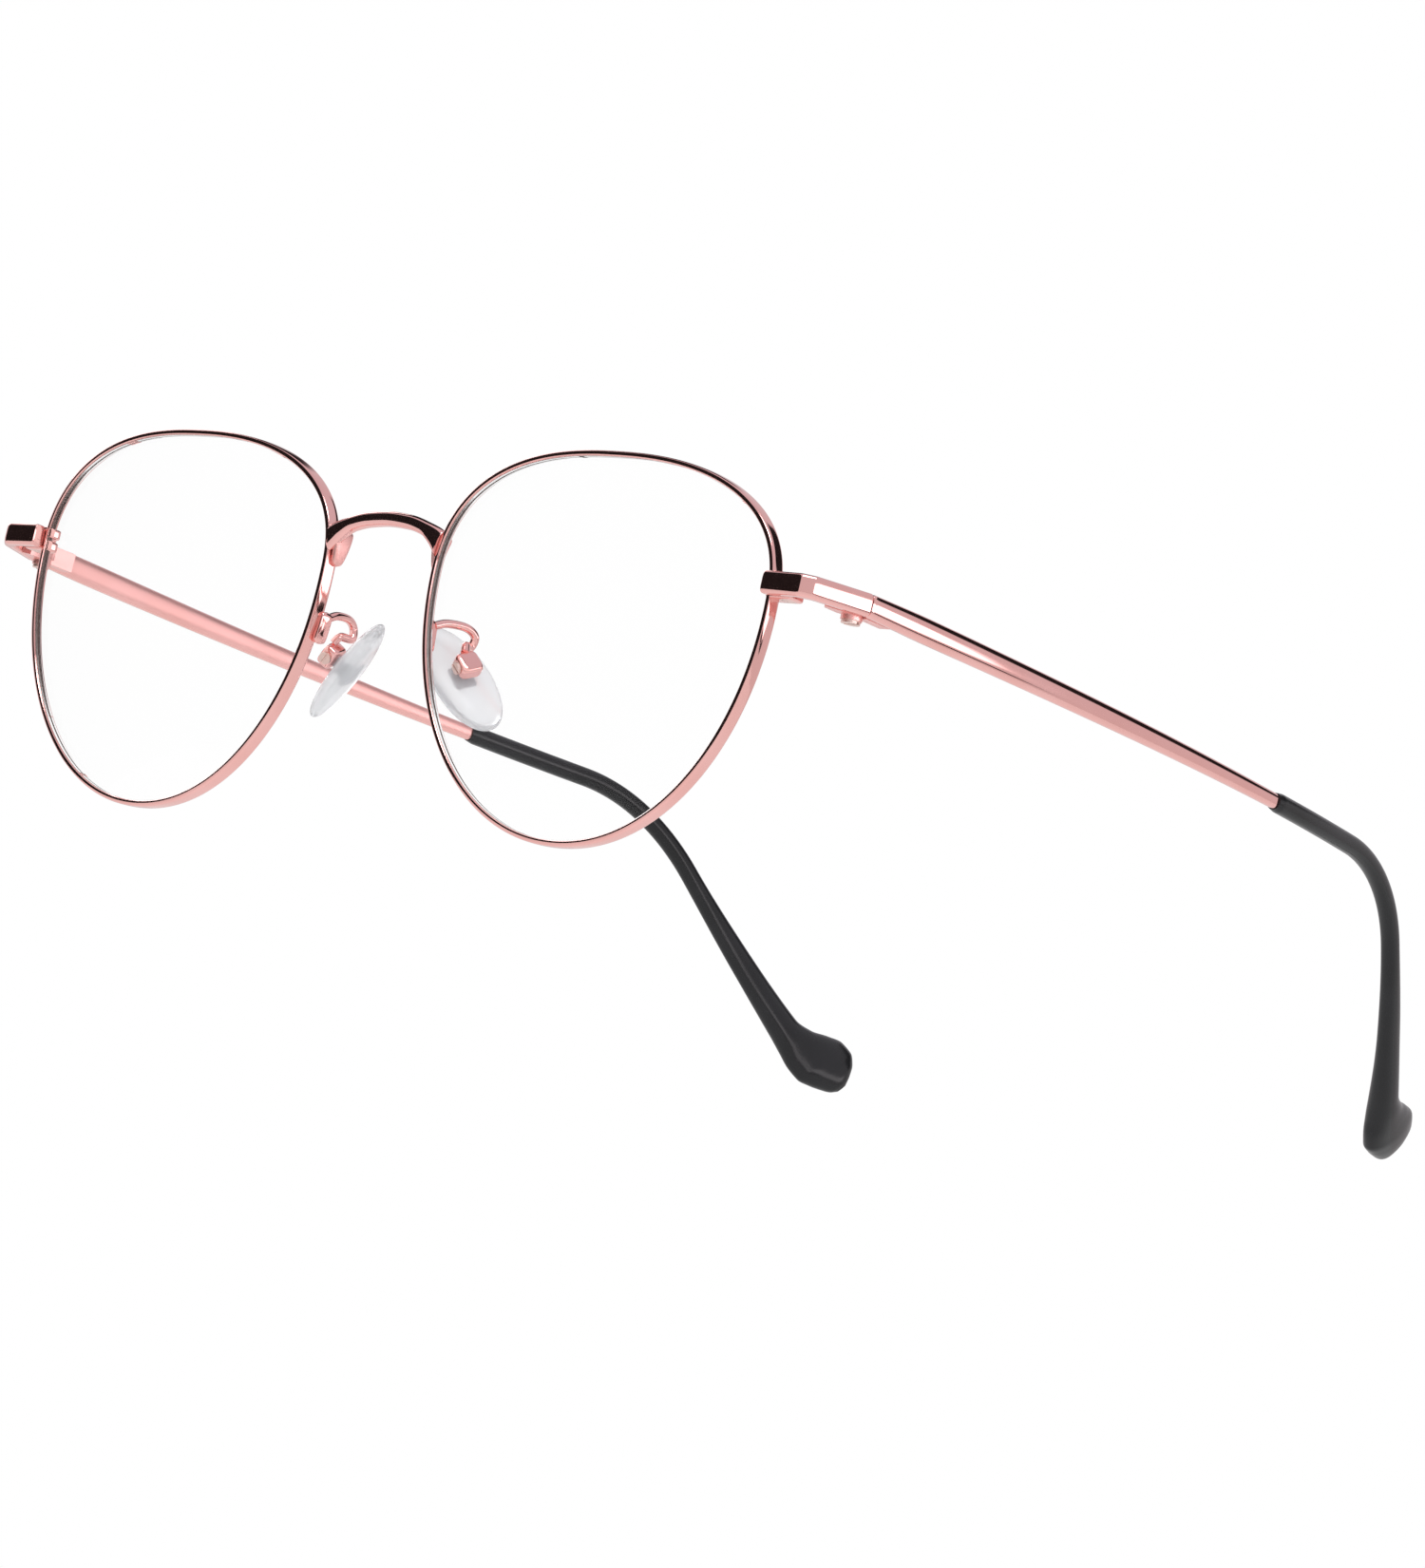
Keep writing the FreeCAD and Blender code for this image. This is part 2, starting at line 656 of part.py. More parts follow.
def temple_point(distance):
    """A point of the temple's middle line, and the line's direction there.

    distance is measured in the side view. There the line falls gently, bends down on one
    radius over the ear and runs straight to the end. Seen from above it leaves the hinge
    outwards, bows, and then sweeps in with the cube of the distance.
    """
    fall = math.radians(size("line_slope"))
    drop = math.radians(size("drop_angle"))
    radius = size("bend_radius")
    start = size("bend_start")
    bend = (drop - fall) * radius
    straight = min(distance, start)
    y = straight * math.cos(fall)
    z = -straight * math.sin(fall)
    angle = fall
    if distance > start:
        angle = fall + min(distance - start, bend) / radius
        y += radius * (math.sin(angle) - math.sin(fall))
        z -= radius * (math.cos(fall) - math.cos(angle))
    if distance > start + bend:
        rest = distance - start - bend
        y += rest * math.cos(drop)
        z -= rest * math.sin(drop)
    share = distance / 100.0
    splay = size("temple_splay")
    bow = size("temple_bow")
    inset = size("tip_inset")
    x = splay * share - bow * share**2 - inset * share**3
    lean = (splay - 2 * bow * share - 3 * inset * share**2) / 100.0
    point = Vector(size("seam_x") + x, size("seam_y") + size("seam_gap") + y, z)
    direction = Vector(lean, math.cos(angle), -math.sin(angle)).normalize()
    return point, direction


def temple_section(distance, height, thickness, exponent, back_shift=0.0):
    """A cross-section of the temple or tip. back_shift moves it towards the back of the head."""
    centre, along = temple_point(distance)
    outwards = X_AXIS - along * along.x
    outwards.normalize()
    behind = outwards.cross(along)
    if behind.z < 0:
        behind = behind * -1
    centre = centre + behind * back_shift
    return section(centre, along, outwards, thickness / 2, height / 2, exponent)


def steepness(before, after):
    """The slope at a station from the slopes either side: none at a peak, so no overshoot."""
    return 0.0 if before * after <= 0 else 2 * before * after / (before + after)


def smoothed(stations, distance):
    """The row of values at this distance, on smooth curves through the stations."""
    last = len(stations) - 2
    k = next((i for i in range(last) if distance <= stations[i + 1][0]), last)
    (start, *low), (end, *high) = stations[k : k + 2]
    run = end - start
    share = min(max((distance - start) / run, 0.0), 1.0)
    values = []
    for n, (a, b) in enumerate(zip(low, high), start=1):
        slopes = [
            (after[n] - before[n]) / (after[0] - before[0])
            for before, after in zip(stations, stations[1:])
        ]
        at_start = steepness(slopes[max(k - 1, 0)], slopes[k]) * run
        at_end = steepness(slopes[k], slopes[min(k + 1, last)]) * run
        bend = share * (1 - share) * ((1 - share) * (at_start - b + a) - share * (at_end - b + a))
        values.append(a + (b - a) * share + bend)
    return values


def spread(start, end, step):
    """Distances from start to end, evenly spaced and close to step apart."""
    count = max(round((end - start) / step), 1)
    return [start + (end - start) * i / count for i in range(count + 1)]


def wire_sections(radius):
    """The wire inside the tip, and with the gap added to its radius the tip's bore."""
    stations = spread(size("tip_start") - 3, size("core_end"), 5.0)
    return [temple_section(s, 2 * radius, 2 * radius, 2.0) for s in stations]


def temple_shape():
    """A flat bar that slims towards the tip, and the round wire that runs on inside the tip."""
    full = size("temple_height")
    thick = size("temple_thickness")
    end = size("tip_start")
    stations = [
        (0.0, full * 0.9, thick, 4.0),
        (end * 0.12, full, thick, 4.0),
        (end * 0.3, full * 0.95, thick, 3.6),
        (end, size("temple_slim"), size("temple_slim_thickness"), 2.6),
    ]
    bar = [temple_section(s, *smoothed(stations, s)) for s in spread(0.0, end, 8.0)]
    core = wire_sections(size("core_radius"))
    return loft(bar).fuse(loft(core))


def tip_shape():
    """A soft sleeve: slim at its mouth, thicker down the tip, with a foot at the end."""
    start = size("tip_start") + 0.03
    end = size("tip_end")
    half = size("shank_height") / 2
    slim = size("shank_thickness")
    calf = size("calf_height") / 2
    heel = size("heel_reach")
    toe = size("toe_reach")
    thick = size("foot_width")
    # distance, front edge, back edge (both from the temple's middle line) and thickness
    stations = [
        (start, -half * 0.85, half * 0.85, slim * 0.85),
        (start + 1.2, -half, half, slim * 0.97),
        (size("bend_start") + 20, -half, half, slim),
        (end - 20, -calf * 0.79, calf * 0.79, slim * 1.1),
        (end - 10.2, -calf, calf, thick * 0.93),
        (end - 7.9, -toe * 0.88, heel * 0.48, thick),
        (end - 6.0, -toe, heel * 0.76, thick),
        (end - 4.2, -toe * 0.93, heel * 0.97, thick),
        (end - 2.7, -toe * 0.57, heel, thick * 0.94),
        (end - 1.4, -toe * 0.14, heel * 0.87, thick * 0.8),
        (end - 0.5, toe * 0.21, heel * 0.64, thick * 0.56),
        (end, toe * 0.57, heel * 0.46, thick * 0.26),
    ]
    places = [start, start + 0.6] + spread(start + 1.2, end - 10.2, 3.6)
    places += spread(end - 10.2, end - 1.4, 0.9)[1:] + [end - 0.9, end - 0.5, end - 0.2, end]
    ribs = []
    for place in places:
        front, back, width = smoothed(stations, place)
        ribs.append(temple_section(place, back - front, width, 2.2, (front + back) / 2))
    bore = wire_sections(size("core_radius") + size("core_gap"))
    return loft(ribs).cut(loft(bore))


keep("temple_left", feature("temple_left", temple_shape()))
keep("temple_tip_left", feature("temple_tip_left", tip_shape()))

# ---------------------------------------------------------------- nose pad

# The pad's own frame: X away from the nose, Y across the pad, Z along it, origin at its middle.
PAD_FRAME = Placement(
    Vector(size("pad_x"), size("pad_y"), -size("pad_drop")),
    Rotation(Y_AXIS, -size("pad_splay"))
    * Rotation(X_AXIS, size("pad_tilt"))
    * Rotation(Z_AXIS, -size("pad_turn")),
)

stretch = FreeCAD.Matrix()
stretch.scale(size("pad_thickness") / 2, size("pad_width") / 2, size("pad_length") / 2)
pad_ball = feature("pad_ball", Part.makeSphere(1.0).transformGeometry(stretch))


def core_solids(prefix, grow):
    """The moulded-in plate and the upright plate with its round end, grown by a clearance."""
    plate = block(
        f"{prefix}_plate",
        (
            f"Sizes.core_plate + {2 * grow}",
            f"Sizes.core_plate_width + {2 * grow}",
            f"Sizes.core_plate_length + {2 * grow}",
        ),
        (
            f"-Sizes.core_plate / 2 - {grow}",
            f"-Sizes.core_plate_width / 2 - {grow}",
            f"-Sizes.core_plate_length / 2 - {grow}",
        ),
    )
    upright = block(
        f"{prefix}_upright",
        ("Sizes.pad_pivot", f"Sizes.lug_plate + {2 * grow}", f"2 * Sizes.lug_radius + {2 * grow}"),
        ("0", f"-Sizes.lug_plate / 2 - {grow}", f"-Sizes.lug_radius - {grow}"),
    )
    return [plate, upright]


round_end = rod(
    "core_round_end",
    "Sizes.lug_radius",
    "Sizes.lug_plate",
    ("Sizes.pad_pivot", "-Sizes.lug_plate / 2", "0"),
    along_y=True,
)
core_bore = rod(
    "core_bore",
    "Sizes.pad_screw_radius + Sizes.screw_play",
    "Sizes.box_width * 2",
    ("Sizes.pad_pivot", "-Sizes.box_width", "0"),
    along_y=True,
)
keep(
    "pad_core_left",
    cut("pad_core_left", fuse("core_solid", core_solids("core", 0) + [round_end]), core_bore),
    PAD_FRAME,
)
keep("nose_pad_left", cut("nose_pad_left", pad_ball, core_solids("pad_pocket", 0.01)), PAD_FRAME)

box_solid = block(
    "pad_box_solid",
    ("Sizes.box_depth", "Sizes.box_width", "Sizes.box_length"),
    ("Sizes.pad_pivot - Sizes.box_depth / 2", "-Sizes.box_width / 2", "-Sizes.box_length / 2"),
)
box_slot = block(
    "pad_box_slot",
    ("Sizes.box_depth", "Sizes.box_slot", "Sizes.box_length * 2"),
    (
        "Sizes.pad_pivot - Sizes.box_depth / 2 - (Sizes.box_depth / 2 - Sizes.lug_radius - 0.1)",
        "-Sizes.box_slot / 2",
        "-Sizes.box_length",
    ),
)
box_bore = rod(
    "pad_box_bore",
    "Sizes.pad_screw_radius + Sizes.screw_fit",
    "Sizes.box_width * 2",
    ("Sizes.pad_pivot", "-Sizes.box_width", "0"),
    along_y=True,
)
keep("pad_box_left", cut("pad_box_left", box_solid, [box_slot, box_bore]), PAD_FRAME)
keep(
    "pad_screw_left",
    slotted_screw(
        "pad_screw_left",
        rod(
            "pad_screw_shank",
            "Sizes.pad_screw_radius",
            "Sizes.box_width",
            ("Sizes.pad_pivot", "-Sizes.box_width / 2", "0"),
            along_y=True,
        ),
        rod(
            "pad_screw_head",
            "Sizes.pad_head_radius",
            "Sizes.pad_head_height",
            ("Sizes.pad_pivot", "-Sizes.box_width / 2 - Sizes.pad_head_height", "0"),
            along_y=True,
        ),
        (
            ("Sizes.driver_slot * 0.7", "Sizes.pad_head_height / 2", "Sizes.pad_head_radius * 2"),
            (
                "Sizes.pad_pivot - Sizes.driver_slot * 0.35",
                "-Sizes.box_width / 2 - Sizes.pad_head_height",
                "-Sizes.pad_head_radius",
            ),
        ),
    ),
    PAD_FRAME,
)


def pad_arm_shape():
    """A foot on the rim's nose side and a round wire that loops back and down to the pad box."""
    pivot = PAD_FRAME.multVec(Vector(size("pad_pivot"), 0, 0))
    rim_side = size("lens_spacing") / 2 - size("lens_width") / 2 - size("rim_wall")
    top = -size("lens_drop") + 0.7
    root = Vector(rim_side + 0.2, size("front_depth") + 3.8, top - 0.6)
    back_end = PAD_FRAME.multVec(
        Vector(size("pad_pivot") + size("box_depth") / 2 - 0.3, 0, size("box_length") / 2 - 0.1)
    )
    loop = [
        root,
        Vector(root.x + 0.3, root.y + 1.7, root.z + 0.75),
        Vector(root.x + 0.9, root.y + 4.2, root.z + 1.0),
        Vector(root.x + 1.2, root.y + 5.6, root.z + 0.3),
        Vector(root.x + 1.0, root.y + 5.5, root.z - 1.0),
        Vector(back_end.x - 0.5, back_end.y + 0.45, back_end.z + 0.9),
        back_end,
    ]
    path = Part.BSplineCurve()
    path.interpolate(loop)
    spine = Part.Wire([path.toShape()])
    start = path.tangent(path.FirstParameter)[0]
    ring = Part.Wire([Part.makeCircle(size("arm_radius"), root, start)])
    wire = spine.makePipeShell([ring], True, False)
    height = size("tab_height")
    depth = size("tab_depth")
    tab = Part.makeBox(size("tab_thickness") + 1.5, depth, height)
    tab.translate(Vector(rim_side - 0.35, root.y - depth + 0.45, top - height))
    box = Part.makeBox(size("box_depth"), size("box_width"), size("box_length"))
    half_sizes = Vector(size("box_depth") / 2, size("box_width") / 2, size("box_length") / 2)
    box.translate(Vector(size("pad_pivot"), 0, 0) - half_sizes)
    box.Placement = PAD_FRAME.multiply(box.Placement)
    arm = tab.cut(RIM_OUTSIDE)
    arm = max(arm.Solids, key=lambda solid: solid.Volume) if arm.Solids else arm
    arm = arm.fuse(wire).cut(box)
    return max(arm.Solids, key=lambda solid: solid.Volume)


keep("pad_arm_left", feature("pad_arm_left", pad_arm_shape()))

# ---------------------------------------------------------------- right half, final places, files

doc.recompute()
for name, (held, placement) in pieces.items():
    held.Placement = placement
doc.recompute()

surface_points = []
for held, placement in pieces.values():
    surface_points += held.Shape.tessellate(0.05)[0]
lowest = min(point.z for point in surface_points)
middle = (min(point.y for point in surface_points) + max(point.y for point in surface_points)) / 2
to_stand = Placement(Vector(0, -middle, -lowest), Rotation())
for held, placement in pieces.values():
    held.Placement = to_stand.multiply(placement)
doc.recompute()

for name in half_pieces:
    other = name.replace("_left", "_right")
    mirrored = doc.addObject("Part::Mirroring", other)
    mirrored.Source = pieces[name][0]
    mirrored.Normal = X_AXIS
    mirrored.Label = other
    pieces[other] = (mirrored, Placement())
doc.recompute()

for held in doc.Objects:
    if "Invalid" in held.State or "Error" in held.State:
        raise RuntimeError(f"{held.Label} failed to build")
os.makedirs("parts", exist_ok=True)
for name, (held, placement) in sorted(pieces.items()):
    shape = held.Shape
    if shape.isNull() or not shape.isValid() or len(shape.Solids) != 1:
        raise RuntimeError(f"{name} isn't one valid solid: {len(shape.Solids)} solids")
    shape.exportStep(f"parts/{name}.step")
    print(f"{name:26s} {shape.Volume:9.2f} mm3")
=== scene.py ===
# %% [markdown]
# # Wire eyeglasses
# The engineering model already has every solid in its place. This file gives each piece its
# finished surface, its material, a studio and a camera. The polished pieces are made again as
# smooth surfaces, because a mirror finish shows every flat triangle of an engineering mesh.

# %% Load the frame
import math

import bmesh
import bpy
import numpy as np
from mathutils import Matrix, Vector


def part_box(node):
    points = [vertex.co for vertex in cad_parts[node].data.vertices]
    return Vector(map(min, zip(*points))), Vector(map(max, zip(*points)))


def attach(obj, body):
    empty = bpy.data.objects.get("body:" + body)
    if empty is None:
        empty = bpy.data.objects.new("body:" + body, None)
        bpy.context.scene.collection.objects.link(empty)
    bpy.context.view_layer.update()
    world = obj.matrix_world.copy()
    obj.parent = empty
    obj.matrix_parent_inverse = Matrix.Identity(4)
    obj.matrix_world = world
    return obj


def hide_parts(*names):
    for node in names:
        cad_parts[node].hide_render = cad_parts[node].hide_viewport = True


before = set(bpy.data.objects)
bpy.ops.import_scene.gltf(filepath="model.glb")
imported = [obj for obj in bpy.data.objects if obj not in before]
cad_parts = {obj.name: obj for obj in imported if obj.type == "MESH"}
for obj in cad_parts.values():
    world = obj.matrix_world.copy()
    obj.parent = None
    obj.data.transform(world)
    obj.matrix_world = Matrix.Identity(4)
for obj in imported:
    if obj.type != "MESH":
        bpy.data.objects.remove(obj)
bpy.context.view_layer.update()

# %% [markdown]
# ## One place to measure from
# The pieces are easiest to describe in millimetres about the temple line, as an optician lays
# out a frame: X to the wearer's left, Y back along the temples, Z up. The left hinge screw gives
# the step from there to the model's own place.

# %% Fitting frame to model frame
MM = 0.001
HINGE_SCREW_MIDDLE = np.array([65.7, 11.4, -0.4])

low, high = (np.array(corner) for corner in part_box("hinge_screw_left"))
to_model = (low + high) / 2 / MM - HINGE_SCREW_MIDDLE
to_model[0] = 0.0
print("fitting frame sits at", to_model.round(3), "mm")

# %% [markdown]
# ## Surfaces from rings
# Nearly every piece here is a section carried along a path: the rim's wire round the lens, the
# temple back to the ear, the pad arm's loop. So one helper joins rings of points into a skin.
# An open run of rings gets a fan of triangles at each end, so that the skin is closed.

# %% Skin, mirror and finish
def skin(rings, joined=False):
    """Points and faces of a skin over rings shaped (number of rings, points in a ring, 3).

    Ring i's point j is joined to its neighbours j + 1 and to ring i + 1. joined also joins the
    last ring to the first. Otherwise each end closes on the mean of its ring.
    """
    count, around, _ = rings.shape
    index = np.arange(count * around).reshape(count, around)
    ahead = np.roll(index, -1, axis=0) if joined else index[1:]
    here = index if joined else index[:-1]
    faces = np.stack([here, np.roll(here, -1, 1), np.roll(ahead, -1, 1), ahead], -1)
    faces = faces.reshape(-1, 4).tolist()
    points = rings.reshape(-1, 3)
    if not joined:
        ends = rings[[0, -1]].mean(axis=1)
        for ring, centre in ((index[0], len(points)), (index[-1], len(points) + 1)):
            faces += np.stack([ring, np.roll(ring, -1), np.full(around, centre)], -1).tolist()
        points = np.concatenate([points, ends])
    return points, faces


def finished_piece(name, points, faces, material, crease=40.0, marks=None):
    """A smooth mesh from points in millimetres about the temple line.

    marks are named attributes of the mesh, one number a point from 0 to 1: satin where the
    finish is brushed; the groove-shade mark where shade beside the lens is painted into the metal's
    colour.
    """
    mesh = bpy.data.meshes.new(name)
    mesh.from_pydata(((points + to_model) * MM).tolist(), [], faces)
    work = bmesh.new()
    work.from_mesh(mesh)
    bmesh.ops.recalc_face_normals(work, faces=work.faces)
    work.to_mesh(mesh)
    work.free()
    mesh.polygons.foreach_set("use_smooth", np.ones(len(mesh.polygons), bool))
    mesh.set_sharp_from_angle(angle=math.radians(crease))
    mesh.materials.append(material)
    for mark, values in (marks or {}).items():
        mesh.attributes.new(mark, "FLOAT", "POINT").data.foreach_set("value", values)
    piece = bpy.data.objects.new(name, mesh)
    bpy.context.scene.collection.objects.link(piece)
    return piece


def both_sides(name, points, faces, material, body, node, crease=40.0, marks=None):
    """The left piece and its mirror image, each in place of its own node on its own body."""
    for side, flip in (("left", 1.0), ("right", -1.0)):
        place = points * np.array([flip, 1.0, 1.0])
        piece = finished_piece(f"{name}_{side}", place, faces, material, crease, marks)
        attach(piece, body.format(side=side))
        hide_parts(f"{node}_{side}")
    print(f"{name}: {len(points)} points, {len(faces)} faces a side")


# %% [markdown]
# ## Two curves that shape everything
# A superellipse is an ellipse whose corners swell as its exponent grows past 2: the lens opening
# and every wire section use it. Sizes that change along a piece, such as the tip's width, run on
# smooth curves through a few stations that never overshoot them.

# %% Superellipse and station curves
def superellipse(angle, exponent):
    """Cosine and sine of the angle, each to the power 2 / exponent with its sign kept."""
    c, s = np.cos(angle), np.sin(angle)
    power = 2.0 / exponent
    return np.sign(c) * np.abs(c) ** power, np.sign(s) * np.abs(s) ** power


def through(stations, distance):
    """Values at each distance, on cubic curves through the stations' rows.

    The slope at a station is the harmonic mean of the slopes either side of it, or zero where
    they have opposite signs.
    """
    table = np.array(stations, float)
    at, values = table[:, 0], table[:, 1:]
    run = np.diff(at)[:, None]
    slope = np.diff(values, axis=0) / run
    before = np.vstack([slope[:1], slope])
    after = np.vstack([slope, slope[-1:]])
    product = before * after
    total = np.where(product > 0, before + after, 1.0)
    steep = np.where(product > 0, 2 * product / total, 0.0)
    k = np.clip(np.searchsorted(at, distance) - 1, 0, len(run) - 1)
    t = np.clip((distance - at[k]) / run[k, 0], 0, 1)[:, None]
    a, b = values[k], values[k + 1]
    start, end = steep[k] * run[k] - (b - a), steep[k + 1] * run[k] - (b - a)
    return a + (b - a) * t + t * (1 - t) * ((1 - t) * start - t * end)


def unit(vectors):
    return vectors / np.linalg.norm(vectors, axis=-1, keepdims=True)


def section_rings(centres, along, across, half_across, half_up, exponent, around=40):
    """A superellipse at each centre, square to the path's direction there."""
    along = unit(along)
    side = unit(across - along * (along * across).sum(-1, keepdims=True))
    up = np.cross(side, along)
    angle = 2 * np.pi * (np.arange(around) + 0.5) / around
    count = len(centres)
    exponent = np.broadcast_to(np.reshape(exponent, (-1, 1)), (count, 1))
    c, s = superellipse(angle[None], exponent)
    sideways = side[:, None] * (c * np.reshape(half_across, (-1, 1)))[..., None]
    upwards = up[:, None] * (s * np.reshape(half_up, (-1, 1)))[..., None]
    return centres[:, None] + sideways + upwards


# %% [markdown]
# ## The metal
# The frame is a copper-nickel wire with a thin rose-gold plating, polished like a mirror. What it
# looks like is mostly what it reflects, so the colour stays a pale copper pink. A very fine
# drawn grain and a faint wandering thickness of the plating keep it from looking like chrome.
# Two marks kept on a piece change it: satin makes the sides towards the head brushed, and the
# groove-shade mark paints shade into the colour of the rim's wall beside the lens, as a darker
# tone.

# %% Plated metal
def new_material(name):
    material = bpy.data.materials.new(name)
    material.use_nodes = True
    nodes = material.node_tree.nodes
    return material, nodes, material.node_tree.links, nodes["Principled BSDF"]


def noise(nodes, links, scale, detail, stretch=(1, 1, 1)):
    """Noise on the piece's own coordinates, in metres, stretched along its axes."""
    place = nodes.new("ShaderNodeTexCoord")
    mapping = nodes.new("ShaderNodeMapping")
    mapping.inputs["Scale"].default_value = stretch
    links.new(place.outputs["Object"], mapping.inputs["Vector"])
    pattern = nodes.new("ShaderNodeTexNoise")
    pattern.inputs["Scale"].default_value = scale
    pattern.inputs["Detail"].default_value = detail
    links.new(mapping.outputs["Vector"], pattern.inputs["Vector"])
    return pattern.outputs["Fac"]


def ranged(nodes, links, value, low, high):
    """The noise spread over the range from low to high."""
    spread = nodes.new("ShaderNodeMapRange")
    spread.inputs["From Min"].default_value = 0.3
    spread.inputs["From Max"].default_value = 0.7
    spread.inputs["To Min"].default_value = low
    spread.inputs["To Max"].default_value = high
    links.new(value, spread.inputs["Value"])
    return spread.outputs["Result"]


def two_tones(nodes, links, factor, first, second):
    mix = nodes.new("ShaderNodeMix")
    mix.data_type = "RGBA"
    links.new(factor, mix.inputs["Factor"])
    mix.inputs["A"].default_value = (*first, 1)
    mix.inputs["B"].default_value = (*second, 1)
    return mix.outputs["Result"]


def polished_plating(name, pale, deep, smooth, worn):
    material, nodes, links, shader = new_material(name)
    shader.inputs["Metallic"].default_value = 1.0
    drift = ranged(nodes, links, noise(nodes, links, 140.0, 2.0), 0.0, 1.0)
    shadow = nodes.new("ShaderNodeAttribute")
    shadow.attribute_name = "painted_groove_shade"
    metal = nodes.new("ShaderNodeMix")
    metal.data_type = "RGBA"
    links.new(shadow.outputs["Fac"], metal.inputs["Factor"])
    links.new(two_tones(nodes, links, drift, pale, deep), metal.inputs["A"])
    # Painted shade: where the groove-shade mark is set, the metal's colour turns to this dark
    # brown.
    metal.inputs["B"].default_value = (0.10, 0.065, 0.06, 1)
    links.new(metal.outputs["Result"], shader.inputs["Base Color"])
    grain = noise(nodes, links, 900.0, 3.0, (1.0, 0.15, 1.0))
    inner = nodes.new("ShaderNodeAttribute")
    inner.attribute_name = "satin"
    rougher = nodes.new("ShaderNodeMath")
    rougher.operation = "MULTIPLY_ADD"
    rougher.inputs[1].default_value = 0.34
    links.new(inner.outputs["Fac"], rougher.inputs[0])
    links.new(ranged(nodes, links, grain, smooth, worn), rougher.inputs[2])
    links.new(rougher.outputs["Value"], shader.inputs["Roughness"])
    bump = nodes.new("ShaderNodeBump")
    bump.inputs["Strength"].default_value = 0.02
    bump.inputs["Distance"].default_value = 0.000004
    links.new(grain, bump.inputs["Height"])
    links.new(bump.outputs["Normal"], shader.inputs["Normal"])
    return material


rose_gold = polished_plating("rose_gold", (0.93, 0.53, 0.50), (0.90, 0.49, 0.455), 0.05, 0.09)
screw_steel = polished_plating("screw_steel", (0.86, 0.66, 0.60), (0.78, 0.58, 0.53), 0.12, 0.24)
print("metals:", rose_gold.name, screw_steel.name)

# %% [markdown]
# ## Rims
# Each rim is one flat-sided wire bent to the lens's edge: about 0.7 mm thick and 1.7 mm from
# front to back. It follows the lens's curve, so its sides lie on spheres about the lens's centre
# of curvature. Its section is a superellipse with a high exponent, which gives flat faces and
# small rounded edges that catch a line of light.

# %% The lens's own frame
LENS_CENTRE = np.array([34.0, 1.5, -7.4])
HALF_LENS_WIDTH, WIDEST_LINE = 24.7, 5.3
ABOVE_WIDEST, BELOW_WIDEST = 15.0, 29.0
UPPER_SQUARENESS, LOWER_SQUARENESS = 2.45, 2.05
WRAP, TILT = math.radians(2.4), math.radians(4.5)
BASE_RADIUS = 130.0
RIM_WALL, RIM_DEPTH = 0.7, 1.7


def lens_outline(grow, around):
    """The lens opening grown by an offset: two half superellipses that share the widest line.

    Returns points (X outwards, Z up). The upper half is squarer than the lower half.
    """
    angle = 2 * np.pi * (np.arange(around) + 0.5) / around
    upper = np.sin(angle) > 0
    c, s = superellipse(angle, np.where(upper, UPPER_SQUARENESS, LOWER_SQUARENESS))
    height = WIDEST_LINE + np.where(upper, ABOVE_WIDEST, BELOW_WIDEST) * s
    base = np.stack([HALF_LENS_WIDTH * c, height], -1)
    run = np.roll(base, -1, 0) - np.roll(base, 1, 0)
    outwards = unit(np.stack([run[:, 1], -run[:, 0]], -1))
    return base + outwards * np.reshape(grow, (-1, 1))


def on_lens_curve(flat, depth):
    """Points at a depth behind the lens's front sphere, turned and moved into the frame.

    A point x, z of the outline lies at y = R - sqrt((R - depth)^2 - x^2 - z^2).
    """
    x, z = flat[..., 0], flat[..., 1]
    y = BASE_RADIUS - np.sqrt((BASE_RADIUS - depth) ** 2 - x**2 - z**2)
    local = np.stack([x, y, z], -1)
    turn = np.array(Matrix.Rotation(TILT, 3, "X") @ Matrix.Rotation(WRAP, 3, "Z"))
    return local @ turn.T + LENS_CENTRE


# %% Rim wires
AROUND_LENS, AROUND_WIRE = 420, 28
angle = 2 * np.pi * (np.arange(AROUND_WIRE) + 0.5) / AROUND_WIRE
c, s = superellipse(angle, 4.5)
outwards = RIM_WALL / 2 * (1 + c)
backwards = RIM_DEPTH / 2 * (1 + s)
wire = [on_lens_curve(lens_outline(o, AROUND_LENS), b) for o, b in zip(outwards, backwards)]
points, faces = skin(np.stack(wire, axis=1), joined=True)
# Painted shade: the rim's wall beside the lens is marked, and the metal's colour is darkened there
# as shade.
beside_lens = (outwards < 0.2) & (np.abs(backwards - RIM_DEPTH / 2) < 0.62)
painted_groove_shade = np.tile(beside_lens.astype(float), AROUND_LENS)
both_sides("rim_wire", points, faces, rose_gold, "front", "rim", 60,
           {"painted_groove_shade": painted_groove_shade})

# %% [markdown]
# ## Lenses
# A lens is a thin curved plate of clear plastic. Its edge carries a narrow bevel that sits in the
# rim's groove. It's made as rings that grow from the middle of the front, step over the bevel and
# shrink to the middle of the back. The material is clear, nearly invisible, with a thin
# reflection, as a coated lens has.

# %% Clear lens
clear_lens, nodes, links, shader = new_material("clear_lens")
shader.inputs["Transmission Weight"].default_value = 1.0
shader.inputs["IOR"].default_value = 1.12
shader.inputs["Base Color"].default_value = (1.0, 1.0, 1.0, 1)
film = ranged(nodes, links, noise(nodes, links, 60.0, 1.0), 0.0, 0.012)
links.new(film, shader.inputs["Roughness"])

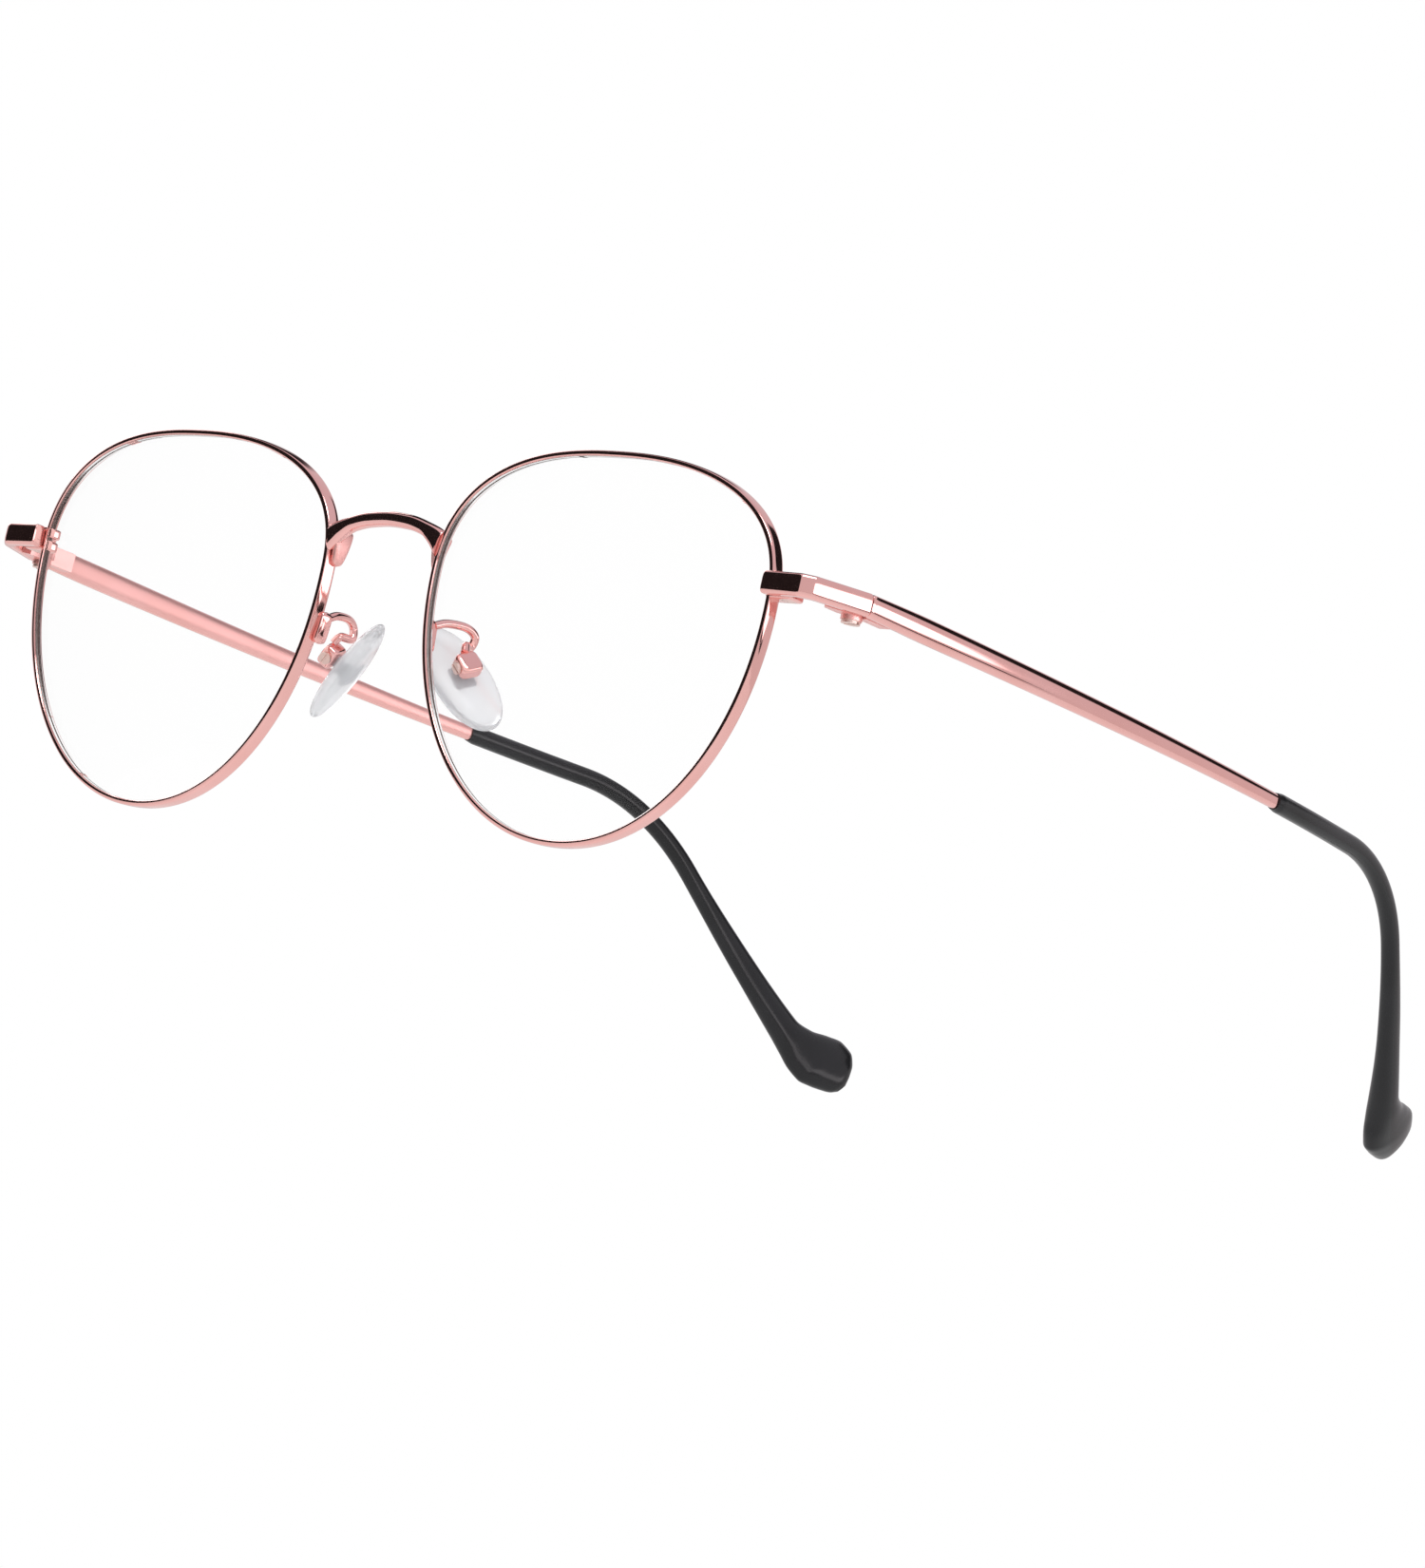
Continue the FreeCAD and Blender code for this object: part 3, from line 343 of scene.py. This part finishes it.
# %% Lens plates
FRONT_FACE, BACK_FACE, BEVEL_FRONT, BEVEL_BACK = 0.2, 1.4, 0.67, 1.03
edge = lens_outline(-0.06, 200)
bevel = lens_outline(0.24, 200)
middle = np.array([0.0, 2.0])
shares = np.sin(np.linspace(0.03, np.pi / 2, 26))
front = [on_lens_curve(middle + (edge - middle) * share, FRONT_FACE) for share in shares]
back = [on_lens_curve(middle + (edge - middle) * share, BACK_FACE) for share in shares[::-1]]
steps = [on_lens_curve(*ring) for ring in
         ((edge, BEVEL_FRONT), (bevel, BEVEL_FRONT), (bevel, BEVEL_BACK), (edge, BEVEL_BACK))]
points, faces = skin(np.stack(front + steps + back))
both_sides("lens_plate", points, faces, clear_lens, "front", "lens", 30)

# %% [markdown]
# ## Bridge
# The bridge is a bar of oval section bent into an arch and flared where it is soldered to the
# rims. A thin plate runs back along the side of each rim behind the joint. The bar is an oval
# carried along the arch. Each plate is a rounded slab.

# %% Bridge bar and its plates
REACH = 9.3
RISE, SETBACK = 4.45, 2.95
half_arch = [(0.0, RISE, 0.875), (0.34, RISE - 0.22, 0.875), (0.62, RISE - 0.8, 0.875),
             (0.84, RISE - 1.75, 1.19), (1.02, RISE - 3.0, 1.5)]
arch = [(-x, z, half) for x, z, half in half_arch[:0:-1]] + half_arch
x = np.linspace(-1.02, 1.02, 121)
z, half = through(arch, x).T
centres = np.stack([x * REACH, np.full_like(x, SETBACK), z], -1)
along = np.gradient(centres, axis=0)
BAR_HALF_DEPTH = 0.85
rings = section_rings(centres, along, np.array([0.0, 1.0, 0.0]), BAR_HALF_DEPTH, half, 2.6)
# The bar stops just inside the outer side of each rim.
rim_side = on_lens_curve(lens_outline(RIM_WALL - 0.1, 400), RIM_DEPTH / 2)
nose_side = rim_side[(rim_side[:, 0] < LENS_CENTRE[0]) & (np.abs(rim_side[:, 2] - 1) < 8)]
nose_side = nose_side[np.argsort(nose_side[:, 2])]
furthest = np.interp(rings[..., 2], nose_side[:, 2], nose_side[:, 0])
rings[..., 0] = np.clip(rings[..., 0], -furthest, furthest)
points, faces = skin(rings)
bridge_bar = finished_piece("bridge_bar", points, faces, rose_gold, 60)
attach(bridge_bar, "front")
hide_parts("bridge")

low_edge, top_edge = RISE - 5.8, RISE - 1.2
heights = np.linspace(0, 1, 24)
front_edge = SETBACK - 0.65 + 1.0 * (1 - heights)
back_edge = SETBACK + 2.65 - 1.0 * (1 - heights)
centres = np.stack([8.25 - 0.25 * np.sin(np.pi * heights), (front_edge + back_edge) / 2,
                    low_edge + (top_edge - low_edge) * heights], -1)
upright = np.tile([0.0, 0.0, 1.0], (len(heights), 1))
fade = np.sqrt(np.clip(1 - (2 * heights - 1) ** 10, 0.05, 1))
rings = section_rings(centres, upright, np.array([1.0, 0.0, 0.0]), 0.42 * fade,
                      (back_edge - front_edge) / 2 * fade, 4.0)
points, faces = skin(rings)
for side, flip in (("left", 1.0), ("right", -1.0)):
    plate = finished_piece(f"bridge_plate_{side}", points * np.array([flip, 1, 1]), faces,
                           rose_gold, 50, {"satin": np.ones(len(points))})
    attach(plate, "front")
print("bridge: a bar and two plates of", len(centres), "rings each")

# %% [markdown]
# ## Temples and tips
# A temple is one strip of metal: tall and flat-sided at the hinge, slimmer towards the ear. A
# soft black sleeve covers its end, follows the bend over the ear and swells into a small foot.
# Both follow the same line, so the line is worked out once and the sections are hung on it.

# %% The temple's line
SEAM = np.array([67.75, 11.5, 0.0])
BEND_START, BEND_RADIUS = 98.8, 26.0
FALL, DROP = math.radians(1.0), math.radians(46.2)
SPLAY, BOW, SWEEP = 3.8, 2.0, 6.7
TIP_START, TIP_END = 79.03, 152.2


def temple_line(distance):
    """Points and directions of the line. In the side view: straight, one bend, straight.

    Seen from above, X is a cubic in the distance: out a little, then in towards the head.
    """
    straight = np.minimum(distance, BEND_START)
    turned = np.clip((distance - BEND_START) / BEND_RADIUS, 0, DROP - FALL)
    rest = np.maximum(distance - BEND_START - (DROP - FALL) * BEND_RADIUS, 0)
    slope = FALL + turned
    y = straight * math.cos(FALL) + BEND_RADIUS * (np.sin(slope) - math.sin(FALL))
    z = -straight * math.sin(FALL) - BEND_RADIUS * (math.cos(FALL) - np.cos(slope))
    y, z = y + rest * math.cos(DROP), z - rest * math.sin(DROP)
    t = distance / 100
    x = SPLAY * t - BOW * t**2 - SWEEP * t**3
    lean = (SPLAY - 2 * BOW * t - 3 * SWEEP * t**2) / 100
    direction = unit(np.stack([lean, np.cos(slope), -np.sin(slope)], -1))
    return np.stack([x, y, z], -1) + SEAM, direction


OUTWARDS = np.array([1.0, 0.0, 0.0])


# %% Metal temples
stations = [(0.0, 2.655, 1.35, 3.2), (9.48, 2.95, 1.35, 2.9), (23.7, 2.8, 1.35, 2.7),
            (79.0, 1.85, 1.4, 2.4)]
distance = np.concatenate([[0.0, 0.05, 0.15], np.linspace(0.3, 79.0, 160)])
height, thickness, exponent = through(stations, distance).T
centres, along = temple_line(distance)
ease = 1 - 0.09 * (1 - np.clip(distance / 0.3, 0, 1)) ** 2
rings = section_rings(centres, along, OUTWARDS, thickness / 2 * ease, height / 2 * ease,
                      exponent, 48)
points, faces = skin(rings)
head_side = np.append((rings[..., 0] - centres[:, None, 0] < -0.3).ravel(), [0, 0]).astype(float)
both_sides("temple_bar", points, faces, rose_gold, "temple_{side}", "temple", 60,
           {"satin": head_side})

# %% [markdown]
# The sleeve is moulded plastic with a soft sheen, slightly hazy, so light runs along it as one
# broad grey band. A fine orange-peel texture breaks the band's edge a little.

# %% Black sleeve
black_sleeve, nodes, links, shader = new_material("black_sleeve")
haze = ranged(nodes, links, noise(nodes, links, 220.0, 3.0), 0.17, 0.23)
links.new(haze, shader.inputs["Roughness"])
tone = ranged(nodes, links, noise(nodes, links, 90.0, 2.0), 0.0, 1.0)
links.new(two_tones(nodes, links, tone, (0.009, 0.009, 0.010), (0.016, 0.016, 0.018)),
          shader.inputs["Base Color"])
shader.inputs["Specular IOR Level"].default_value = 0.3
peel = nodes.new("ShaderNodeBump")
peel.inputs["Strength"].default_value = 0.02
peel.inputs["Distance"].default_value = 0.000003
links.new(noise(nodes, links, 1500.0, 2.0), peel.inputs["Height"])
links.new(peel.outputs["Normal"], shader.inputs["Normal"])

# %% Sleeves over the temple ends
CALF, TOE, HEEL, FOOT = 2.15, 2.8, 6.9, 3.6
stations = [
    (TIP_START, -1.02, 1.02, 1.83), (TIP_START + 1.2, -1.2, 1.2, 2.09),
    (BEND_START + 20, -1.2, 1.2, 2.15), (TIP_END - 20, -CALF * 0.79, CALF * 0.79, 2.37),
    (TIP_END - 10.2, -CALF, CALF, FOOT * 0.93), (TIP_END - 7.9, -TOE * 0.88, HEEL * 0.48, FOOT),
    (TIP_END - 6.0, -TOE, HEEL * 0.76, FOOT), (TIP_END - 4.2, -TOE * 0.93, HEEL * 0.97, FOOT),
    (TIP_END - 2.7, -TOE * 0.57, HEEL, FOOT * 0.94),
    (TIP_END - 1.4, -TOE * 0.14, HEEL * 0.87, FOOT * 0.8),
    (TIP_END - 0.5, TOE * 0.21, HEEL * 0.64, FOOT * 0.56),
    (TIP_END, TOE * 0.57, HEEL * 0.46, FOOT * 0.26),
]
distance = np.concatenate([np.linspace(TIP_START, TIP_START + 1.2, 10),
                           np.linspace(TIP_START + 1.4, TIP_END - 10.4, 110),
                           TIP_END - 10.2 * (1 - np.linspace(0, 1, 60)) ** 1.4])
front_edge, back_edge, thickness = through(stations, distance).T
centres, along = temple_line(distance)
behind = np.cross(unit(OUTWARDS - along * along[:, :1]), along)
behind *= np.sign(behind[:, 2:])
centres = centres + behind * ((front_edge + back_edge) / 2)[:, None]
rings = section_rings(centres, along, OUTWARDS, thickness / 2, (back_edge - front_edge) / 2,
                      2.2, 48)
points, faces = skin(rings)
both_sides("sleeve", points, faces, black_sleeve, "temple_{side}",
           "temple_tip", 60)

# %% [markdown]
# ## Nose pads
# A pad is a soft silicone oval, thin at its edge, with a small stiff core moulded in that the
# screw holds. The silicone is cloudy and clear at once: light passes through, softly scattered.
# The oval is made from latitude rings whose thickness falls towards the edge.

# %% Silicone
silicone, nodes, links, shader = new_material("silicone")
shader.inputs["Transmission Weight"].default_value = 0.62
shader.inputs["IOR"].default_value = 1.30
cloud = noise(nodes, links, 420.0, 3.0)
links.new(ranged(nodes, links, cloud, 0.10, 0.26), shader.inputs["Roughness"])
links.new(two_tones(nodes, links, cloud, (0.93, 0.94, 0.97), (0.98, 0.98, 0.99)),
          shader.inputs["Base Color"])

# %% Pads
PAD_MIDDLE = np.array([9.35, 10.95, -12.05])
PAD_TURN = np.array(
    Matrix.Rotation(math.radians(-43.0), 3, "Y")
    @ Matrix.Rotation(math.radians(10.6), 3, "X")
    @ Matrix.Rotation(math.radians(-30.0), 3, "Z")
)


def in_pad_frame(points):
    return points @ PAD_TURN.T + PAD_MIDDLE


# An oval seen face on, 15 by 7.8 mm, with its upper end a little narrower. Latitude rings run
# from the face to the back: radius sin, thickness cos, as on a flattened ball.
latitude = np.linspace(0.04, np.pi - 0.04, 40)[:, None]
round_about = (2 * np.pi * np.arange(72) / 72)[None]
radius = np.sin(latitude) ** 0.8
long_way = 7.5 * radius * np.sin(round_about)
across = 3.9 * radius * np.cos(round_about) * (1 - 0.012 * long_way)
depth = -1.25 * np.cos(latitude) * np.ones_like(round_about)
points, faces = skin(in_pad_frame(np.stack([depth, across * 0.96, long_way], -1)))
both_sides("soft_pad", points, faces, silicone, "pad_{side}", "nose_pad", 80)

# %% [markdown]
# ## Pad arms
# A small tab soldered to the side of the rim carries a round wire. The wire loops back and comes
# down behind the pad to its box. The wire is a circle carried along a smooth curve through a few
# points, and the tab is a rounded slab.

# %% Wire curve and arms
def curve_through(knots, per_span=16):
    """A smooth path through the knots: each span is a cubic whose end slopes come from its
    neighbours (a Catmull-Rom curve)."""
    knots = np.array(knots, float)
    padded = np.vstack([2 * knots[0] - knots[1], knots, 2 * knots[-1] - knots[-2]])
    t = np.linspace(0, 1, per_span, endpoint=False)[None, :, None]
    p0, p1, p2, p3 = (padded[i : len(padded) - 3 + i, None] for i in range(4))
    path = 0.5 * (2 * p1 + (p2 - p0) * t + (2 * p0 - 5 * p1 + 4 * p2 - p3) * t**2
                  + (3 * p1 - p0 - 3 * p2 + p3) * t**3)
    return np.vstack([path.reshape(-1, 3), knots[-1:]])


RIM_SIDE = LENS_CENTRE[0] - HALF_LENS_WIDTH - RIM_WALL
ARM_RADIUS = 0.5
root = np.array([RIM_SIDE + 0.2, 5.3, -7.3])
box_end = in_pad_frame(np.array([3.4, 0.0, 1.3]))
knots = [root, root + (0.3, 1.7, 0.75), root + (0.9, 4.2, 1.0), root + (1.2, 5.6, 0.3),
         root + (1.0, 5.5, -1.0), box_end + (-0.5, 0.45, 0.9), box_end]
path = curve_through(knots)
along = np.gradient(path, axis=0)
rings = section_rings(path, along, np.array([1.0, 0.2, 0.1]), ARM_RADIUS, ARM_RADIUS, 2.0, 24)
points, faces = skin(rings)
both_sides("pad_wire", points, faces, rose_gold, "front", "pad_arm", 60)

heights = np.linspace(0, 1, 24)
fade = np.sqrt(np.clip(1 - (2 * heights - 1) ** 10, 0.04, 1))
centres = np.stack([8.72 + 0.35 * heights[::-1] ** 2, np.full(24, 4.85), -10.5 + 3.8 * heights], -1)
upright = np.tile([0.0, 0.0, 1.0], (24, 1))
rings = section_rings(centres, upright, np.array([1.0, 0.0, 0.0]), 0.42 * fade, 0.9 * fade, 3.5)
points, faces = skin(rings)
for side, flip in (("left", 1.0), ("right", -1.0)):
    tab = finished_piece(f"pad_tab_{side}", points * np.array([flip, 1, 1]), faces, rose_gold,
                         50)
    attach(tab, "front")

# %% [markdown]
# ## End pieces
# An end piece is a bar bent round the corner of the frame: flat across the rim's face, one facet
# at the corner, then a side arm that runs back to the hinge. Its plan is a run of outer and
# inner points. A section between each pair is a superellipse, and the corners of the plan are
# eased by taking the mean over half a millimetre of the run.

# %% Bent bar
plan = np.array([
    (0.0, 58.95, 2.86, 58.95, 4.61), (5.6, 64.40, 3.26, 63.10, 4.66),
    (7.5, 65.75, 4.50, 64.50, 5.62), (14.8, 68.42, 11.4, 67.07, 11.4),
])
run = np.concatenate([[0.0, 0.04, 0.12], np.linspace(0.25, 14.7, 150), [14.8]])
eased = [np.stack([np.interp(run + shift, plan[:, 0], column) for column in plan[:, 1:].T], -1)
         for shift in np.linspace(-0.3, 0.3, 9)]
outer_inner = np.mean(eased, axis=0)
outer, inner = outer_inner[:, :2], outer_inner[:, 2:]
angle = 2 * np.pi * (np.arange(56) + 0.5) / 56
c, s = superellipse(angle, 4.2)
ends = 1 - 0.07 * (1 - np.clip(np.minimum(run, 14.8 - run) / 0.25, 0, 1)) ** 2
half_gap = (outer - inner) / 2 * ends[:, None]
flat = ((outer + inner) / 2)[:, None] + half_gap[:, None] * c[None, :, None]
upright = (1.33 * ends)[:, None] * s[None]
points, faces = skin(np.concatenate([flat, upright[..., None]], -1))
head_side = np.append(np.broadcast_to(c < -0.5, flat.shape[:2]).ravel(), [0, 0]).astype(float)
both_sides("end_bar", points, faces, rose_gold, "front", "end_piece", 60,
           {"satin": head_side})

# %% [markdown]
# ## Blocks
# The closing blocks that clamp each rim shut, and the boxes that hold the nose pads, are small
# pressed blocks with soft corners. A superellipsoid has exactly that shape: a ball whose three
# coordinates are raised to a power below one.

# %% Soft-cornered blocks
def soft_block(middle, half_sizes, turn=None, exponent=6.0):
    """A ball's latitude and longitude, each cosine and sine to the power 2 / exponent."""
    latitude = np.linspace(-0.995, 0.995, 41) * np.pi / 2
    longitude = 2 * np.pi * (np.arange(64) + 0.5) / 64
    ring, up = superellipse(latitude, exponent)
    east, north = superellipse(longitude, exponent)
    shape = np.stack([ring[:, None] * east, ring[:, None] * north,
                      np.broadcast_to(up[:, None], (41, 64))], -1) * np.array(half_sizes)
    if turn is not None:
        shape = shape @ turn.T
    return skin(shape + np.array(middle))


for name, low_z, high_z in (("closing_block_upper", 0.125, 1.45),
                            ("closing_block_lower", -1.45, -0.125)):
    points, faces = soft_block((60.27, 5.885, (low_z + high_z) / 2),
                               (2.0, 1.225, (high_z - low_z) / 2), exponent=7.0)
    both_sides(f"{name}_pressed", points, faces, rose_gold, "front", name, 60)
points, faces = soft_block(in_pad_frame(np.array([2.7, 0.0, 0.0])), (1.0, 1.4, 1.4), PAD_TURN, 4.6)
both_sides("pad_box_pressed", points, faces, rose_gold, "front", "pad_box", 60)

# %% [markdown]
# ## Milled and turned pieces
# Hinge leaves, pad cores and screws are milled or turned, so the
# engineering solids already have the right shape. On the real parts no edge is truly sharp. Each
# one is copied, its loose triangles are merged into clean faces, and a narrow bevel rounds the
# edges so that they catch light.

# %% Softened copies
pad_plastic, nodes, links, shader = new_material("pad_plastic")
speckle = noise(nodes, links, 700.0, 3.0)
links.new(two_tones(nodes, links, speckle, (0.50, 0.52, 0.55), (0.62, 0.64, 0.68)),
          shader.inputs["Base Color"])
links.new(ranged(nodes, links, speckle, 0.35, 0.5), shader.inputs["Roughness"])


def softened(node, material, body, edge):
    """A copy of a node with merged faces and edges rounded to a radius in millimetres."""
    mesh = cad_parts[node].data.copy()
    work = bmesh.new()
    work.from_mesh(mesh)
    bmesh.ops.remove_doubles(work, verts=work.verts, dist=2e-6)
    bmesh.ops.dissolve_limit(work, angle_limit=math.radians(2), verts=work.verts, edges=work.edges)
    work.to_mesh(mesh)
    work.free()
    mesh.polygons.foreach_set("use_smooth", np.ones(len(mesh.polygons), bool))
    mesh.set_sharp_from_angle(angle=math.radians(30))
    mesh.materials.clear()
    mesh.materials.append(material)
    satin = mesh.attributes.new("satin", "FLOAT", "POINT")
    satin.data.foreach_set("value", np.full(len(mesh.vertices), 0.7))
    piece = bpy.data.objects.new(f"{node}_milled", mesh)
    bpy.context.scene.collection.objects.link(piece)
    bevel = piece.modifiers.new("rounded_edges", "BEVEL")
    bevel.width = edge * MM
    bevel.segments = 3
    bevel.limit_method = "ANGLE"
    bevel.angle_limit = math.radians(30)
    bevel.harden_normals = True
    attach(piece, body)
    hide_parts(node)


milled = [
    ("closing_screw", screw_steel, "screw_metal", "front", 0.06),
    ("hinge_front_leaf", rose_gold, "plated_frame", "front", 0.12),
    ("hinge_temple_leaf", rose_gold, "plated_frame", "temple_{side}", 0.12),
    ("hinge_screw", screw_steel, "screw_metal", "front", 0.06),
    ("pad_screw", screw_steel, "screw_metal", "front", 0.05),
    ("pad_core", pad_plastic, "pad_core_plastic", "pad_{side}", 0.08),
]
for node, material, slot, body, edge in milled:
    for side in ("left", "right"):
        softened(f"{node}_{side}", material, body.format(side=side), edge)
print("softened", 2 * len(milled), "milled and turned pieces")

# %% [markdown]
# ## Studio
# Polished wire shows the room round it. Here the room is pale on all sides, with dark cards that
# draw the black lines along the wire and soft boxes that burn small patches white, as a studio
# would set them. Only reflections see the cards and boxes. Everything else sees plain white, so
# the background and the lenses stay clean. The floor is plain and pale, and lies far below, since
# the camera looks up at the glasses.

# %% Floor
FLOOR_Z, FLOOR_REACH = -1.3, 6.0
corner = np.array([(-1, -1), (1, -1), (1, 1), (-1, 1)]) * FLOOR_REACH
floor_mesh = bpy.data.meshes.new("floor")
floor_mesh.from_pydata([(x, y, FLOOR_Z) for x, y in corner.tolist()], [], [(0, 1, 2, 3)])
floor = bpy.data.objects.new("floor", floor_mesh)
bpy.context.scene.collection.objects.link(floor)
pale_floor, nodes, links, shader = new_material("pale_floor")
shader.inputs["Base Color"].default_value = (0.86, 0.86, 0.86, 1)
shader.inputs["Roughness"].default_value = 0.7
floor_mesh.materials.append(pale_floor)

# %% White room with dark cards
world = bpy.data.worlds.new("white_room")
bpy.context.scene.world = world
world.use_nodes = True
nodes, links = world.node_tree.nodes, world.node_tree.links
background = nodes["Background"]
direction = nodes.new("ShaderNodeTexCoord").outputs["Generated"]


def dot_with(vector):
    dot = nodes.new("ShaderNodeVectorMath")
    dot.operation = "DOT_PRODUCT"
    dot.inputs[1].default_value = Vector(vector).normalized()
    links.new(direction, dot.inputs[0])
    return dot.outputs["Value"]


def stepped(value, start, end):
    """0 before start, 1 after end, eased between."""
    step = nodes.new("ShaderNodeMapRange")
    step.interpolation_type = "SMOOTHSTEP"
    step.inputs["From Min"].default_value = start
    step.inputs["From Max"].default_value = end
    links.new(value, step.inputs["Value"])
    return step.outputs["Result"]


def combined(operation, first, second):
    math_node = nodes.new("ShaderNodeMath")
    math_node.operation = operation
    for socket, value in zip(math_node.inputs, (first, second)):
        if isinstance(value, float):
            socket.default_value = value
        else:
            links.new(value, socket)
    return math_node.outputs["Value"]


def round_card(towards, radius, soft):
    """1 within radius degrees of a direction, easing to 0 over soft degrees more."""
    outer = math.cos(math.radians(radius + soft))
    return stepped(dot_with(towards), outer, math.cos(math.radians(radius)))


def long_card(towards, across, half_width, reach, soft=2.0):
    """A strip round a direction: half_width degrees either side of the great circle that is
    square to across, and reach degrees along it, easing off over soft degrees."""
    off_circle = combined("ABSOLUTE", dot_with(across), 0.0)
    width = math.sin(math.radians(half_width))
    inside = combined("SUBTRACT", 1.0, stepped(off_circle, width * 0.8, width))
    return combined("MULTIPLY", inside, round_card(towards, reach, soft))


def any_of(cards):
    total = cards[0]
    for card in cards[1:]:
        total = combined("MAXIMUM", total, card)
    return total


ROOM_LEVEL, BOX_LEVEL = 0.72, 2.4
dark = any_of([
    round_card((-0.56, -0.82, 0.10), 41.0, 3.0),
    round_card((-0.67, 0.25, 0.62), 24.0, 6.0),
    long_card((0.317, 0.726, 0.611), (0.273, -0.621, 0.734), 13.0, 17.0, 4.0),
    long_card((0.95, 0.10, -0.06), (0.03, 0.0, 1.0), 2.0, 40.0),
])
bright = any_of([
    long_card((0.755, 0.656, 0.15), (0.0, -0.16, 0.98), 6.0, 4.5, 1.5),
    long_card((0.95, 0.05, 0.15), (-0.12, 0.0, 0.99), 7.0, 34.0),
])
unshaded = combined("SUBTRACT", 1.0, combined("MULTIPLY", dark, 0.98))
shaded = combined("MULTIPLY", unshaded, ROOM_LEVEL)
room = combined("ADD", shaded, combined("MULTIPLY", bright, BOX_LEVEL))
path = nodes.new("ShaderNodeLightPath")
not_through = combined("SUBTRACT", 1.0, path.outputs["Is Transmission Ray"])
mirrored = combined("MULTIPLY", path.outputs["Is Glossy Ray"], not_through)
dimming = combined("MULTIPLY", mirrored, combined("SUBTRACT", room, 1.0))
links.new(combined("ADD", 1.0, dimming), background.inputs["Strength"])
upwards = ranged(nodes, links, dot_with((0, 0, 1)), 0.0, 1.0)
upwards.node.inputs["From Min"].default_value = -1.0
upwards.node.inputs["From Max"].default_value = 1.0
tint = two_tones(nodes, links, upwards, (1.0, 0.93, 0.88), (0.95, 0.92, 1.0))
hue = nodes.new("ShaderNodeMix")
hue.data_type = "RGBA"
hue.inputs["A"].default_value = (1, 1, 1, 1)
links.new(mirrored, hue.inputs["Factor"])
links.new(tint, hue.inputs["B"])
links.new(hue.outputs["Result"], background.inputs["Color"])

# %% Soft lights
def soft_light(name, place, power, size):
    data = bpy.data.lights.new(name, "AREA")
    data.shape = "RECTANGLE"
    data.size, data.size_y = size
    data.energy = power
    light = bpy.data.objects.new(name, data)
    light.location = place
    light.rotation_euler = (-Vector(place)).to_track_quat("-Z", "Y").to_euler()
    bpy.context.scene.collection.objects.link(light)


soft_light("key", (0.5, -0.6, 0.9), 4.0, (0.5, 0.3))
soft_light("fill", (-0.9, 0.2, 0.6), 2.0, (0.4, 0.6))

# %% [markdown]
# ## Camera
# A long lens, from below and to the wearer's left, rolled so that the glasses hang across the
# frame from corner to corner.

# %% Camera
camera_data = bpy.data.cameras.new("camera")
camera_data.sensor_width = 36.0
camera_data.lens = 184.06
camera_data.clip_start = 0.01
camera = bpy.data.objects.new("camera", camera_data)
bpy.context.scene.collection.objects.link(camera)
right = Vector((0.73830586, 0.63716469, 0.22119135))
up = Vector((-0.06488038, -0.25933581, 0.96360546))
back = Vector((0.67133821, -0.72578653, -0.15012966))
place = Vector((np.array([651.8, -638.29, -156.01]) + to_model) * MM)
turned = Matrix((right, up, back)).transposed().to_4x4()
camera.matrix_world = Matrix.Translation(place) @ turned
bpy.context.scene.camera = camera
bpy.context.scene.view_settings.view_transform = "Standard"
print("camera at", tuple(round(v, 4) for v in place))
